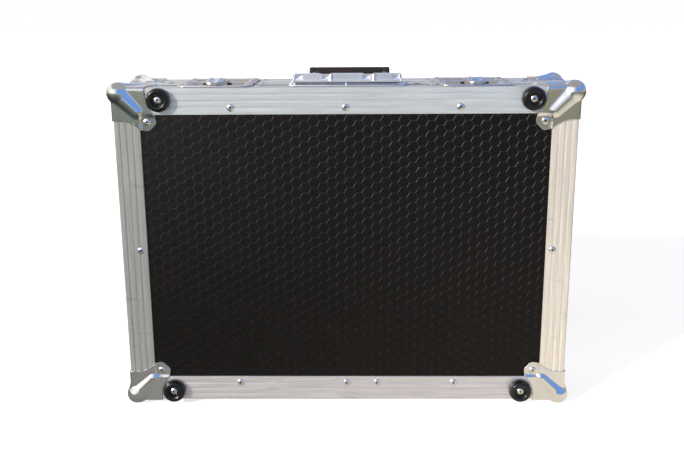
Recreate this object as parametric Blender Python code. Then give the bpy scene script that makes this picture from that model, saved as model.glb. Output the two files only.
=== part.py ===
"""Lighting console flight case.

A shallow plywood case in two halves, bound with riveted aluminium angle, with pressed ball corners,
rubber feet, recessed butterfly latches, a sprung carrying handle and a foam bay for the console.
Metres, +Z up. X runs across the width, -Y is the base face with the rubber feet, +Y is the lid.
The case stands on its long lower side with the handle on top. The origin is under the middle of it.
"""

import math

import bmesh
import bpy
from mathutils import Matrix, Vector

for old in list(bpy.data.objects):
    bpy.data.objects.remove(old)

# Case shell
CASE_WIDTH = 0.522
CASE_HEIGHT = 0.3755
BASE_DEPTH = 0.064
LID_DEPTH = 0.060
PLY = 0.009
CLEAR = 0.0003
PART_GAP = 0.0006

# Aluminium angle along the edges
RAIL_WIDTH = 0.030
RAIL_THICK = 0.0015
RAIL_RADIUS = 0.0025
LIP_RADIUS = 0.0010
GROOVE_PITCH = 0.00725
GROOVE_WIDTH = 0.0024
GROOVE_DEPTH = 0.0006
GROOVE_COUNT = 3

# Tongue and groove profile at the parting line
CLOSING_LEG = 0.012
CLOSING_INNER_LEG = 0.008
GROOVE_CHANNEL_WIDTH = 0.0044
GROOVE_CHANNEL_DEPTH = 0.0030
TONGUE_HEIGHT = 0.0024
TONGUE_CLEAR = 0.0008
TONGUE_TAPER = 0.0004

# Pressed ball corners
BALL_OUT = 0.0062
BALL_RADIUS = 0.0122
CORNER_PLATE = 0.0012
CORNER_LEG = 0.0365
CORNER_LEG_END = 0.0092
CORNER_WAIST = (0.0375, 0.0215)
CORNER_SHOULDER = (0.0470, 0.0310)
CORNER_TIP = (0.0475, 0.0385)
CORNER_RIVET = 0.038
RIDGE_END = 0.0245
RIDGE_END_RADIUS = 0.0095
RIDGE_END_SINK = 0.0066
RIDGE_START = 0.97
RIDGE_NOSE_ANGLES = (30, 55, 80)
LEG_STAGGER = 0.0002
CURVE_STEPS = 4
BALL_SIDES = 12

# Rubber feet
FOOT_RADIUS = 0.01335
FOOT_HEIGHT = 0.010
FOOT_FROM_SIDE = 0.0525
FOOT_FROM_EDGE = 0.0130
FOOT_CROWN = 0.0010
FOOT_TAPER = 0.0008
FOOT_BORE_RADIUS = 0.0062
FOOT_BORE_DEPTH = 0.0042
FOOT_SIDES = 16

# Blind rivets
RIVET_RADIUS = 0.00425
RIVET_HEIGHT = 0.0015
RIVET_SIDES = 8
RIVET_FROM_EDGE = 0.0222
RIVET_FROM_END = 0.1325
SPLICE_RIVET_X = 0.0363
HARDWARE_RIVET_RADIUS = 0.0034
RIVET_TOP_SHARE = 0.6

# Butterfly latches, four of them: two on the handle side, two on the side it stands on
LATCH_FROM_END = 0.113
RIVET_BESIDE_LATCH = 0.0068
FLANGE_WIDTH = 0.084
FLANGE_THICK = 0.0012
FLANGE_RADIUS = 0.010
FLANGE_PART_RADIUS = 0.002
BASE_FLANGE_LENGTH = 0.0585
LID_FLANGE_LENGTH = 0.0485
DISH_WALL = 0.0010
DISH_DEPTH = 0.0080
DISH_WIDTH = 0.066
DISH_FLOOR_WIDTH = 0.036
DISH_LENGTH = 0.0420
KEEPER_LENGTH = 0.0230
DISH_END_SLOPE = 0.0055
DISH_RADIUS = 0.005
ROTOR_FROM_PARTING = 0.0270
ROTOR_DISC_RADIUS = 0.0135
ROTOR_DISC_THICK = 0.0030
HUB_RADIUS = 0.0055
WING_WIDTH = 0.020
WING_LENGTH = 0.0250
WING_THICK = 0.0038
WING_TIP_RADIUS = 0.006
LUG_WIDTH = 0.006
ROTOR_LUG_ANGLES = (0, 45, 90, 135, 180)
LATCH_PLAY = 0.0003
HOOK_WIDTH = 0.020
HOOK_THICK = 0.0015
HOOK_SLOT_WIDTH = 0.0124
HOOK_TRAVEL = 0.005
HOOK_REACH = 0.0150
HOOK_RAMP_START = 0.0190
HOOK_RAMP_END = 0.0125

# Sprung handle on the base half, a little right of the middle
HANDLE_FROM_MIDDLE = 0.0020
HANDLE_FROM_FACE = 0.0100
HANDLE_PLATE_WIDTH = 0.132
HANDLE_PLATE_LENGTH = 0.048
HANDLE_PLATE_THICK = 0.0015
HANDLE_PLATE_RADIUS = 0.005
HANDLE_WALL_WIDTH = 0.119
HANDLE_WALL_HEIGHT = 0.0145
HANDLE_WALL_SETBACK = 0.0040
HANDLE_CHEEK_LENGTH = 0.0200
ROD_RADIUS = 0.0025
ROD_FROM_FACE = 0.0240
ROD_HEIGHT = 0.0085
BOW_ARM_THICK = 0.0040
BOW_ARM_RADIUS = 0.0048
BOW_ARM_FROM_END = 0.0040
BOW_FROM_MIDDLE = 0.0025
GRIP_LENGTH = 0.092
GRIP_WIDTH = 0.017
GRIP_THICK = 0.012
GRIP_RADIUS = 0.005
GRIP_FROM_ROD = 0.0250
GRIP_TOP = 0.0187
SPRING_RADIUS = 0.0044
SPRING_LENGTH = 0.044
CROSSBAR_RADIUS = 0.003
ARM_STEPS = 6
HANDLE_RIVET_INSET = 0.0055

# Foam
FOAM_FLOOR = 0.010
FOAM_LID = 0.012
FOAM_SIDE_WALL = 0.0077
FOAM_LONG_WALL = 0.0194
FOAM_GAP = 0.0005

# Places worked out from the sizes above
SKIN = RAIL_THICK + CLEAR
HALF_WIDTH = CASE_WIDTH / 2
BOTTOM_Z = BALL_OUT
TOP_Z = BOTTOM_Z + CASE_HEIGHT
MIDDLE_Z = (BOTTOM_Z + TOP_Z) / 2
FRONT_Y = FOOT_HEIGHT - (FOOT_HEIGHT + BASE_DEPTH + LID_DEPTH + BALL_OUT) / 2
PART_Y = FRONT_Y + BASE_DEPTH
BACK_Y = PART_Y + LID_DEPTH
INNER = SKIN + PLY
CHANNEL_FLOOR = PART_GAP / 2 + GROOVE_CHANNEL_DEPTH + RAIL_THICK
WALL_EDGE = CHANNEL_FLOOR + CLEAR
DISH_START = CHANNEL_FLOOR + CLEAR / 2 + CLEAR + DISH_WALL
CLOSING_INNER = INNER + CLEAR
LATCH_FROM_MIDDLE = HALF_WIDTH - LATCH_FROM_END


def material(name, colour, roughness, metallic):
    """A plain Principled finish."""
    made = bpy.data.materials.new(name)
    made.use_nodes = True
    shader = made.node_tree.nodes["Principled BSDF"]
    shader.inputs["Base Color"].default_value = (*colour, 1.0)
    shader.inputs["Roughness"].default_value = roughness
    shader.inputs["Metallic"].default_value = metallic
    made.diffuse_color = (*colour, 1.0)
    return made


LAMINATE = ("laminated_ply", (0.020, 0.016, 0.014), 0.45, 0.0)
ALUMINIUM = ("mill_aluminium", (0.62, 0.64, 0.67), 0.38, 1.0)
CORNER_STEEL = ("bright_corner_steel", (0.72, 0.73, 0.74), 0.18, 1.0)
ZINC = ("zinc_plated_steel", (0.60, 0.60, 0.60), 0.32, 1.0)
FOOT_RUBBER = ("foot_rubber", (0.018, 0.018, 0.020), 0.55, 0.0)
GRIP_RUBBER = ("grip_rubber", (0.030, 0.026, 0.024), 0.60, 0.0)
FOAM = ("case_foam", (0.035, 0.035, 0.038), 0.95, 0.0)


def frame(origin, u, v, w):
    """A local frame: u and v along a face of the case, w out of it."""
    turn = Matrix((Vector(u), Vector(v), Vector(w))).transposed().to_4x4()
    return Matrix.Translation(Vector(origin)) @ turn


FRONT = frame((0, FRONT_Y, MIDDLE_Z), (1, 0, 0), (0, 0, 1), (0, -1, 0))
BACK = frame((0, BACK_Y, MIDDLE_Z), (-1, 0, 0), (0, 0, 1), (0, 1, 0))
TOP = frame((0, PART_Y, TOP_Z), (1, 0, 0), (0, 1, 0), (0, 0, 1))
UNDER = frame((0, PART_Y, BOTTOM_Z), (-1, 0, 0), (0, 1, 0), (0, 0, -1))
LEFT = frame((-HALF_WIDTH, PART_Y, MIDDLE_Z), (0, -1, 0), (0, 0, 1), (-1, 0, 0))
RIGHT = frame((HALF_WIDTH, PART_Y, MIDDLE_Z), (0, 1, 0), (0, 0, 1), (1, 0, 0))
WORLD = Matrix.Identity(4)


def shifted(place, u=0.0, v=0.0, w=0.0):
    """The same local frame, moved along its own axes."""
    return place @ Matrix.Translation(Vector((u, v, w)))


def loft(bm, loops, place=WORLD):
    """A closed body through loops of equally many points, with flat ends."""
    rows = [[bm.verts.new(place @ Vector(point)) for point in loop] for loop in loops]
    count = len(rows[0])
    for low, high in zip(rows, rows[1:]):
        for i in range(count):
            j = (i + 1) % count
            bm.faces.new((low[i], low[j], high[j], high[i]))
    bm.faces.new(list(reversed(rows[0])))
    bm.faces.new(rows[-1])


def block(bm, low, high, place=WORLD):
    """A box between two corners of a local frame."""
    outline = [(low[0], low[1]), (high[0], low[1]), (high[0], high[1]), (low[0], high[1])]
    loft(bm, [[(a, b, w) for a, b in outline] for w in (low[2], high[2])], place)


def prism_along_u(bm, outline, low, high, place=WORLD):
    """A prism along u with its outline in v and w."""
    loft(bm, [[(u, v, w) for v, w in outline] for u in (low, high)], place)


def prism_along_w(bm, outline, low, high, place=WORLD):
    """A prism along w with its outline in u and v."""
    loft(bm, [[(u, v, w) for u, v in outline] for w in (low, high)], place)


def rounded(low, high, radius, steps=3, far_radius=None):
    """A rectangle's outline with rounded corners. far_radius is for the two at the high v side."""
    far = radius if far_radius is None else far_radius
    corners = [
        (high[0] - radius, low[1] + radius, radius, -90),
        (high[0] - far, high[1] - far, far, 0),
        (low[0] + far, high[1] - far, far, 90),
        (low[0] + radius, low[1] + radius, radius, 180),
    ]
    outline = []
    for u, v, r, start in corners:
        for step in range(steps + 1):
            angle = math.radians(start + 90 * step / steps)
            outline.append((u + r * math.cos(angle), v + r * math.sin(angle)))
    return outline


def circle(radius, height, sides, u=0.0, v=0.0):
    """A loop of points round w."""
    turn = 2 * math.pi / sides
    return [
        (u + radius * math.cos(i * turn), v + radius * math.sin(i * turn), height)
        for i in range(sides)
    ]


def ring(bm, loops, place=WORLD):
    """A closed ring through loops of equally many points, the last one meeting the first."""
    rows = [[bm.verts.new(place @ Vector(point)) for point in loop] for loop in loops]
    count = len(rows[0])
    for low, high in zip(rows, rows[1:] + rows[:1]):
        for i in range(count):
            j = (i + 1) % count
            bm.faces.new((low[i], low[j], high[j], high[i]))


def rim(inwards, depth_y):
    """The case's outline in x and z, drawn in by a distance, at one depth."""
    x, low, high = HALF_WIDTH - inwards, BOTTOM_Z + inwards, TOP_Z - inwards
    return [(-x, depth_y, low), (x, depth_y, low), (x, depth_y, high), (-x, depth_y, high)]


def turned(bm, profile, sides, place=WORLD):
    """A body turned about w from radius and height pairs."""
    loft(bm, [circle(radius, height, sides) for radius, height in profile], place)


def mesh_from(bm, name):
    """The shape as a mesh whose faces point outwards."""
    bmesh.ops.recalc_face_normals(bm, faces=bm.faces)
    mesh = bpy.data.meshes.new(name)
    bm.to_mesh(mesh)
    bm.free()
    return mesh


def combine(mesh, tool, operation):
    """The mesh cut by, or joined with, another one."""
    body = bpy.data.objects.new("body", mesh)
    other = bpy.data.objects.new("tool", tool)
    for item in (body, other):
        bpy.context.collection.objects.link(item)
    step = body.modifiers.new("combine", "BOOLEAN")
    step.operation = operation
    step.solver = "EXACT"
    step.object = other
    bpy.context.view_layer.update()
    depsgraph = bpy.context.evaluated_depsgraph_get()
    result = bpy.data.meshes.new_from_object(body.evaluated_get(depsgraph))
    for item in (body, other):
        bpy.data.objects.remove(item)
    return result


def cut(mesh, boxes, place):
    """The mesh with boxes of a local frame cut out of it."""
    for low, high in boxes:
        tool = bmesh.new()
        block(tool, low, high, place)
        mesh = combine(mesh, mesh_from(tool, "cutter"), "DIFFERENCE")
    return mesh


def riveted(mesh, spots, radius=RIVET_RADIUS):
    """The mesh with low domed rivet heads at local frames that lie on its surface."""
    for spot in spots:
        head = bmesh.new()
        top = (radius * RIVET_TOP_SHARE, RIVET_HEIGHT)
        turned(head, [(radius, -RAIL_THICK / 2), (radius, 0), top], RIVET_SIDES, spot)
        mesh = combine(mesh, mesh_from(head, "rivet"), "UNION")
    return mesh


def add(name, shape, finish, origin=(0, 0, 0), smooth_angle=None):
    """Puts a shape into the scene as a named piece with its own finish and origin."""
    mesh = mesh_from(shape, name) if isinstance(shape, bmesh.types.BMesh) else shape
    mesh.transform(Matrix.Translation(-Vector(origin)))
    if smooth_angle is not None:
        mesh.shade_smooth()
        mesh.set_sharp_from_angle(angle=math.radians(smooth_angle))
    mesh.name = name
    mesh.materials.clear()
    mesh.materials.append(material(name + "_" + finish[0], *finish[1:]))
    piece = bpy.data.objects.new(name, mesh)
    piece.location = origin
    bpy.context.collection.objects.link(piece)
    return piece


def angle_outline():
    """The L of the edge angle: distances along leg a and leg b, from the inner corner round.

    Returns the points and the index of the one in the middle of the rounded outer corner."""
    def leg(swap):
        lip = LIP_RADIUS
        slant = lip * (1 - math.cos(math.radians(45)))
        points = [(RAIL_WIDTH, RAIL_THICK), (RAIL_WIDTH, lip), (RAIL_WIDTH - slant, slant)]
        points.append((RAIL_WIDTH - lip, 0))
        for number in range(GROOVE_COUNT, 0, -1):
            middle = number * GROOVE_PITCH
            points.append((middle + GROOVE_WIDTH / 2, 0))
            points.append((middle, GROOVE_DEPTH))
            points.append((middle - GROOVE_WIDTH / 2, 0))
        points.append((RAIL_RADIUS, 0))
        return [(b, a) for a, b in points] if swap else points

    middle = RAIL_RADIUS * (1 - math.cos(math.radians(45)))
    first = leg(True)
    outline = [(RAIL_THICK, RAIL_THICK)] + first + [(middle, middle)]
    return outline + list(reversed(leg(False))), len(first) + 1


def angle_length(bm, corner, along, leg_a, leg_b, start, end, mitred_end=True):
    """One length of edge angle. Its start, and its end unless it is square, is mitred on both legs."""
    outline, split = angle_outline()
    corner, along, leg_a, leg_b = (Vector(x) for x in (corner, along, leg_a, leg_b))
    rows = []
    for place, sign, mitred in ((start, 1, True), (end, -1, mitred_end)):
        row = []
        for a, b in outline:
            s = place + sign * (max(a, b) + CLEAR / 2 if mitred else 0)
            row.append(bm.verts.new(corner + along * s + leg_a * a + leg_b * b))
        rows.append(row)
    count = len(outline)
    for i in range(count):
        j = (i + 1) % count
        bm.faces.new((rows[0][i], rows[0][j], rows[1][j], rows[1][i]))
    for row in rows:
        bm.faces.new(row[: split + 1])
        bm.faces.new(row[split:] + row[:1])


def closing_outline(tongue):
    """The parting profile: distances inwards from the outer face and into its half."""
    face = PART_GAP / 2
    web = face + RAIL_THICK
    middle = (RAIL_THICK + CLOSING_INNER) / 2
    low, high = middle - GROOVE_CHANNEL_WIDTH / 2, middle + GROOVE_CHANNEL_WIDTH / 2
    if tongue:
        low, high = low + TONGUE_CLEAR, high - TONGUE_CLEAR
        tip = face - TONGUE_HEIGHT
        bend = [(low, face), (low + TONGUE_TAPER, tip), (high - TONGUE_TAPER, tip), (high, face)]
        back = []
    else:
        tip = face + GROOVE_CHANNEL_DEPTH
        bend = [(low, face), (low, tip), (high, tip), (high, face)]
        floor = tip + RAIL_THICK
        low, high = low - RAIL_THICK, high + RAIL_THICK
        back = [(high, web), (high, floor), (low, floor), (low, web)]
    inner = CLOSING_INNER + RAIL_THICK
    return (
        [(0, face)]
        + bend
        + [(inner, face), (inner, CLOSING_INNER_LEG), (CLOSING_INNER, CLOSING_INNER_LEG)]
        + [(CLOSING_INNER, web)]
        + back
        + [(RAIL_THICK, web), (RAIL_THICK, CLOSING_LEG), (0, CLOSING_LEG)]
    )


def closing_frame(tongue, into):
    """The parting profile as one riveted frame. into is the direction into this half."""
    bm = bmesh.new()
    ring(bm, [rim(q, PART_Y + into * p) for q, p in closing_outline(tongue)])
    return mesh_from(bm, "closing")


def latch_boxes(half):
    """What the latch pockets take out of a half's rail, wall and closing profile, in the TOP frame."""
    length = DISH_LENGTH if half == "base" else KEEPER_LENGTH
    out = DISH_WALL + CLEAR
    near = CHANNEL_FLOOR + CLEAR / 2
    far = DISH_START + length + out
    span = (-far, -near) if half == "base" else (near, far)
    boxes = []
    for side in (-1, 1):
        middle = side * LATCH_FROM_MIDDLE
        reach = DISH_WIDTH / 2 + out
        boxes.append(((middle - reach, span[0], -INNER + CLEAR), (middle + reach, span[1], INNER)))
    return boxes


def shell(half):
    """Panel, walls, edge angles and closing profile of one half."""
    base = half == "base"
    face_y, into = (FRONT_Y, 1) if base else (BACK_Y, -1)

    depth = BASE_DEPTH if base else LID_DEPTH
    bm = bmesh.new()
    loft(bm, [rim(SKIN, face_y + into * SKIN), rim(SKIN, face_y + into * INNER)])
    add(half + "_panel", bm, LAMINATE)

    front, back = face_y + into * (INNER + CLEAR), face_y + into * (depth - WALL_EDGE)
    bm = bmesh.new()
    ring(bm, [rim(SKIN, front), rim(SKIN, back), rim(INNER, back), rim(INNER, front)])
    walls = mesh_from(bm, "walls")
    boxes = latch_boxes(half)
    for place in (TOP, UNDER):
        walls = cut(walls, boxes, place)
    add(half + "_walls", walls, LAMINATE)

    inwards = (0, into, 0)
    across_x, across_z = HALF_WIDTH - RIVET_FROM_EDGE, CASE_HEIGHT / 2 - RIVET_FROM_EDGE
    face = FRONT if base else BACK
    outwards = -1 if base else 1
    leg_v = outwards * (depth - RIVET_FROM_EDGE)
    beside = LATCH_FROM_MIDDLE - FLANGE_WIDTH / 2 - RIVET_BESIDE_LATCH
    far = HALF_WIDTH - RIVET_FROM_END
    spread = (-far, 0, far)
    upper = [shifted(face, u, across_z) for u in spread]
    upper += [shifted(TOP, u, leg_v) for u in (-beside, beside)]
    lower = [shifted(face, u, -across_z) for u in spread]
    lower += [shifted(UNDER, u, leg_v) for u in (-beside, beside)]
    if base:
        lower.append(shifted(face, SPLICE_RIVET_X, -across_z))
    rails = {
        "top": ((-HALF_WIDTH, TOP_Z, 1, 0, 0, -1, CASE_WIDTH), upper, TOP),
        "bottom": ((-HALF_WIDTH, BOTTOM_Z, 1, 0, 0, 1, CASE_WIDTH), lower, UNDER),
        "left": (
            (-HALF_WIDTH, BOTTOM_Z, 0, 1, 1, 0, CASE_HEIGHT),
            [shifted(face, outwards * across_x, 0), shifted(LEFT, -leg_v, 0)],
            None,
        ),
        "right": (
            (HALF_WIDTH, BOTTOM_Z, 0, 1, -1, 0, CASE_HEIGHT),
            [shifted(face, -outwards * across_x, 0), shifted(RIGHT, leg_v, 0)],
            None,
        ),
    }
    for name, ((x, z, along_x, along_z, in_x, in_z, length), spots, notched) in rails.items():
        bm = bmesh.new()
        along, across = (along_x, 0, along_z), (in_x, 0, in_z)
        angle_length(bm, (x, face_y, z), along, across, inwards, 0, length)
        mesh = mesh_from(bm, name)
        if notched is not None:
            mesh = cut(mesh, boxes, notched)
        mesh = riveted(mesh, spots)
        add(half + "_rail_" + name, mesh, ALUMINIUM, smooth_angle=25)

    end = depth - CLOSING_LEG - CLEAR
    for column, x, x_in in (("left", -HALF_WIDTH, 1), ("right", HALF_WIDTH, -1)):
        for row, z, z_in in (("bottom", BOTTOM_Z, 1), ("top", TOP_Z, -1)):
            bm = bmesh.new()
            legs = ((x_in, 0, 0), (0, 0, z_in))
            angle_length(bm, (x, face_y, z), inwards, *legs, 0, end, mitred_end=False)
            add(half + "_corner_angle_" + row + "_" + column, bm, ALUMINIUM, smooth_angle=25)

    closing = closing_frame(not base, -into)
    for place in (TOP, UNDER):
        closing = cut(closing, boxes, place)
    edge_v = outwards * CLOSING_LEG / 2
    near_end = (FLANGE_WIDTH / 2 + LATCH_FROM_MIDDLE + HALF_WIDTH - CORNER_LEG) / 2
    spots = [shifted(p, u, edge_v) for p in (TOP, UNDER) for u in (-near_end, -beside, beside, near_end)]
    high = CASE_HEIGHT / 2 - RIVET_FROM_END
    for v in (-high, 0, high):
        spots += [shifted(LEFT, -edge_v, v), shifted(RIGHT, edge_v, v)]
    closing = riveted(closing, spots, HARDWARE_RIVET_RADIUS)
    add(half + "_closing_profile", closing, ALUMINIUM, smooth_angle=25)


def plate_outline(start):
    """The corner plate on one face, by distances from the two edges, from -start round."""
    def half(leg_length):
        leg = (leg_length, CORNER_LEG_END)
        points = [(leg_length, -start)]
        for step in range(CURVE_STEPS + 1):
            t = step / CURVE_STEPS
            weights = ((1 - t) ** 2, 2 * t * (1 - t), t * t)
            bend = (leg, CORNER_WAIST, CORNER_SHOULDER)
            points.append(tuple(sum(k * p[i] for k, p in zip(weights, bend)) for i in (0, 1)))
        return points + [CORNER_TIP]

    other = half(CORNER_LEG - LEG_STAGGER)
    return [(-start, -start)] + half(CORNER_LEG) + [(b, a) for a, b in reversed(other)]


def corner_mesh():
    """A pressed ball corner at the origin, with the case towards +u, +v and +w."""
    outer = CLEAR + CORNER_PLATE
    step = RAIL_WIDTH + CLEAR
    bend = step + CORNER_PLATE
    centre = BALL_RADIUS - BALL_OUT

    ball = bmesh.new()
    rings = BALL_SIDES // 2
    bmesh.ops.create_uvsphere(ball, u_segments=BALL_SIDES, v_segments=rings, radius=BALL_RADIUS)
    bmesh.ops.translate(ball, vec=Vector((centre,) * 3), verts=ball.verts)
    mesh = mesh_from(ball, "ball")
    turns = [
        frame((0, 0, 0), (1, 0, 0), (0, 1, 0), (0, 0, 1)),
        frame((0, 0, 0), (0, 1, 0), (0, 0, 1), (1, 0, 0)),
        frame((0, 0, 0), (0, 0, 1), (1, 0, 0), (0, 1, 0)),
    ]
    for turn in turns:
        ridge = bmesh.new()
        start = Vector((centre,) * 3)
        along = Vector((RIDGE_END, RIDGE_END, RIDGE_END_SINK)) - start
        place = turn @ Matrix.Translation(start) @ along.to_track_quat("Z", "Y").to_matrix().to_4x4()
        reach = along.length
        profile = [(BALL_RADIUS * RIDGE_START, 0), (RIDGE_END_RADIUS, reach)]
        for angle in map(math.radians, RIDGE_NOSE_ANGLES):
            nose = (RIDGE_END_RADIUS * math.cos(angle), reach + RIDGE_END_RADIUS * math.sin(angle))
            profile.append(nose)
        turned(ridge, profile, BALL_SIDES, place)
        mesh = combine(mesh, mesh_from(ridge, "ridge"), "UNION")
    outline = plate_outline(CLEAR + CORNER_PLATE / 2)
    for turn in turns:
        plate = bmesh.new()
        prism_along_w(plate, outline, -outer, CORNER_PLATE, turn)
        mesh = combine(mesh, mesh_from(plate, "plate"), "UNION")
    inside = bmesh.new()
    block(inside, (-CLEAR,) * 3, (CASE_HEIGHT / 2,) * 3)
    mesh = combine(mesh, mesh_from(inside, "inside"), "DIFFERENCE")
    edge = CORNER_SHOULDER[0] - LEG_STAGGER
    low = CORNER_SHOULDER[1] - LEG_STAGGER
    nose = (CORNER_TIP[0] - LEG_STAGGER, CORNER_TIP[1] - LEG_STAGGER / 2)
    tip_outline = [(step, step), (edge, step), (edge, low), nose, nose[::-1], (low, edge), (step, edge)]
    for turn in turns:
        tip = bmesh.new()
        prism_along_w(tip, tip_outline, -CLEAR - CORNER_PLATE / 2, SKIN - CLEAR, turn)
        mesh = combine(mesh, mesh_from(tip, "tip"), "UNION")
        far = 2 * CORNER_LEG
        mesh = cut(mesh, [((bend, bend, -3 * outer), (far, far, SKIN - CLEAR - CORNER_PLATE))], turn)
        seat = (CORNER_RIVET, CORNER_RIVET, SKIN - CLEAR - CORNER_PLATE)
        mesh = riveted(mesh, [turn @ frame(seat, (1, 0, 0), (0, -1, 0), (0, 0, -1))])
    return mesh


def ball_corners(half, mesh):
    """Four ball corners of one half."""
    y, into = (FRONT_Y, 1) if half == "base" else (BACK_Y, -1)
    for row, z, z_in in (("bottom", BOTTOM_Z, 1), ("top", TOP_Z, -1)):
        for column, x, x_in in (("left", -HALF_WIDTH, 1), ("right", HALF_WIDTH, -1)):
            copy = mesh.copy()
            copy.transform(frame((x, y, z), (x_in, 0, 0), (0, into, 0), (0, 0, z_in)))
            if x_in * into * z_in < 0:
                copy.flip_normals()
            name = half + "_ball_corner_" + row + "_" + column
            add(name, copy, CORNER_STEEL, smooth_angle=35)


def foot_places():
    """The feet's local frames on the base face, by row and column."""
    u = HALF_WIDTH - FOOT_FROM_SIDE
    v = CASE_HEIGHT / 2 - FOOT_FROM_EDGE
    rows = (("bottom", -v), ("top", v))
    columns = (("left", -u), ("right", u))
    return {
        row + "_" + column: shifted(FRONT, x, z, CLEAR) for row, z in rows for column, x in columns
    }


def feet():
    """Four rubber feet, each a tapered ring with a deep seat that holds its rivet."""
    for name, place in foot_places().items():
        bm = bmesh.new()
        height = FOOT_HEIGHT - CLEAR
        profile = [
            (FOOT_RADIUS, 0),
            (FOOT_RADIUS, height / 3),
            (FOOT_RADIUS - FOOT_TAPER, height - FOOT_CROWN),
            (FOOT_RADIUS - FOOT_TAPER - FOOT_CROWN, height),
            (FOOT_BORE_RADIUS, height),
            (FOOT_BORE_RADIUS - FOOT_TAPER, height - FOOT_BORE_DEPTH),
            (RIVET_RADIUS, height - FOOT_BORE_DEPTH),
            (RIVET_RADIUS * RIVET_TOP_SHARE, height - FOOT_BORE_DEPTH + RIVET_HEIGHT),
        ]
        turned(bm, profile, FOOT_SIDES, place)
        add("foot_" + name, bm, FOOT_RUBBER, smooth_angle=35)


def dish(bm, place, start_v, length, flange_near, flange_length, sign):
    """A pressed pocket with its flange, as one wall folded from the floor's underside to its top."""
    def outline(reach_u, near, far, radius):
        low, high = sorted((sign * near, sign * far))
        return rounded((-reach_u, low), (reach_u, high), radius)

    low, high = sorted((sign * flange_near, sign * (flange_near + flange_length)))
    corner, far_corner = FLANGE_RADIUS, FLANGE_PART_RADIUS
    if sign > 0:
        corner, far_corner = far_corner, corner
    flange = rounded((-FLANGE_WIDTH / 2, low), (FLANGE_WIDTH / 2, high), corner, 3, far_corner)
    rim = (DISH_WIDTH / 2, start_v, start_v + length, DISH_RADIUS)
    floor = (
        DISH_FLOOR_WIDTH / 2,
        start_v + DISH_END_SLOPE,
        start_v + length - DISH_END_SLOPE,
        DISH_RADIUS,
    )
    inner_rim, inner_floor = outline(*rim), outline(*floor)
    full, part = DISH_WALL, DISH_WALL / 2
    outer_rim = outline(rim[0] + full, rim[1] - full, rim[2] + full, rim[3] + full)
    outer_floor = outline(floor[0] + part, floor[1] - part, floor[2] + part, floor[3])
    under, top = CLEAR, CLEAR + FLANGE_THICK
    loops = [
        [(u, v, -DISH_DEPTH - DISH_WALL) for u, v in outer_floor],
        [(u, v, under) for u, v in outer_rim],
        [(u, v, under) for u, v in flange],
        [(u, v, top) for u, v in flange],
        [(u, v, top) for u, v in inner_rim],
        [(u, v, -DISH_DEPTH) for u, v in inner_floor],
    ]
    loft(bm, loops, place)


def latches():
    """Dishes, keepers, rotors, wings and hooks of the four butterfly latches."""
    face = CLEAR + FLANGE_THICK + LATCH_PLAY
    pivot_w = face + WING_THICK / 2
    near = PART_GAP / 2
    seat_u = (FLANGE_WIDTH + DISH_WIDTH) / 4
    for side, place in (("top", TOP), ("bottom", UNDER)):
        for column, x in (("left", -LATCH_FROM_MIDDLE), ("right", LATCH_FROM_MIDDLE)):
            name = "latch_" + side + "_" + column
            seat = shifted(place, x if side == "top" else -x)
            for part, length, flange, sign in (
                ("_dish", DISH_LENGTH, BASE_FLANGE_LENGTH, -1),
                ("_keeper", KEEPER_LENGTH, LID_FLANGE_LENGTH, 1),
            ):
                bm = bmesh.new()
                dish(bm, seat, DISH_START, length, near, flange, sign)
                spots = [
                    shifted(seat, u, sign * v, CLEAR + FLANGE_THICK)
                    for u in (-seat_u, seat_u)
                    for v in (FLANGE_RADIUS, flange - FLANGE_RADIUS)
                ]
                body = riveted(mesh_from(bm, "dish"), spots, HARDWARE_RIVET_RADIUS)
                add(name + part, body, ZINC, smooth_angle=30)
            centre = shifted(seat, 0, -ROTOR_FROM_PARTING)
            pivot = shifted(centre, 0, 0, pivot_w)
            latch_rotor(name, centre, face, pivot)
            latch_wing(name, centre, face, pivot)
            latch_hook(name, centre, face)


def rounded_end(length, height, steps=4):
    """A bar's side view: a half-round end about the origin, and a square far end at -length."""
    outline = [(-length, height / 2), (-length, -height / 2)]
    for step in range(steps + 1):
        angle = math.radians(-90 + 180 * step / steps)
        outline.append((height / 2 * math.cos(angle), height / 2 * math.sin(angle)))
    return outline


def latch_rotor(name, centre, face, pivot):
    """Disc on the pocket floor, hub through the hook's slot and a lug that carries the wing."""
    disc_low = -DISH_DEPTH + LATCH_PLAY
    disc_high = disc_low + ROTOR_DISC_THICK
    bm = bmesh.new()
    turned(
        bm,
        [
            (ROTOR_DISC_RADIUS, disc_low),
            (ROTOR_DISC_RADIUS, disc_high),
            (HUB_RADIUS, disc_high),
            (HUB_RADIUS, face - LATCH_PLAY),
        ],
        BALL_SIDES,
        centre,
    )
    body = mesh_from(bm, "rotor")
    lug = bmesh.new()
    end = WING_THICK / 2
    outline = [(-end, -WING_THICK), (end, -WING_THICK)]
    for angle in map(math.radians, ROTOR_LUG_ANGLES):
        outline.append((end * math.cos(angle), end * math.sin(angle)))
    prism_along_u(lug, outline, -LUG_WIDTH / 2, LUG_WIDTH / 2, pivot)
    body = combine(body, mesh_from(lug, "lug"), "UNION")
    add(name + "_rotor", body, ZINC, origin=centre.translation, smooth_angle=35)


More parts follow.
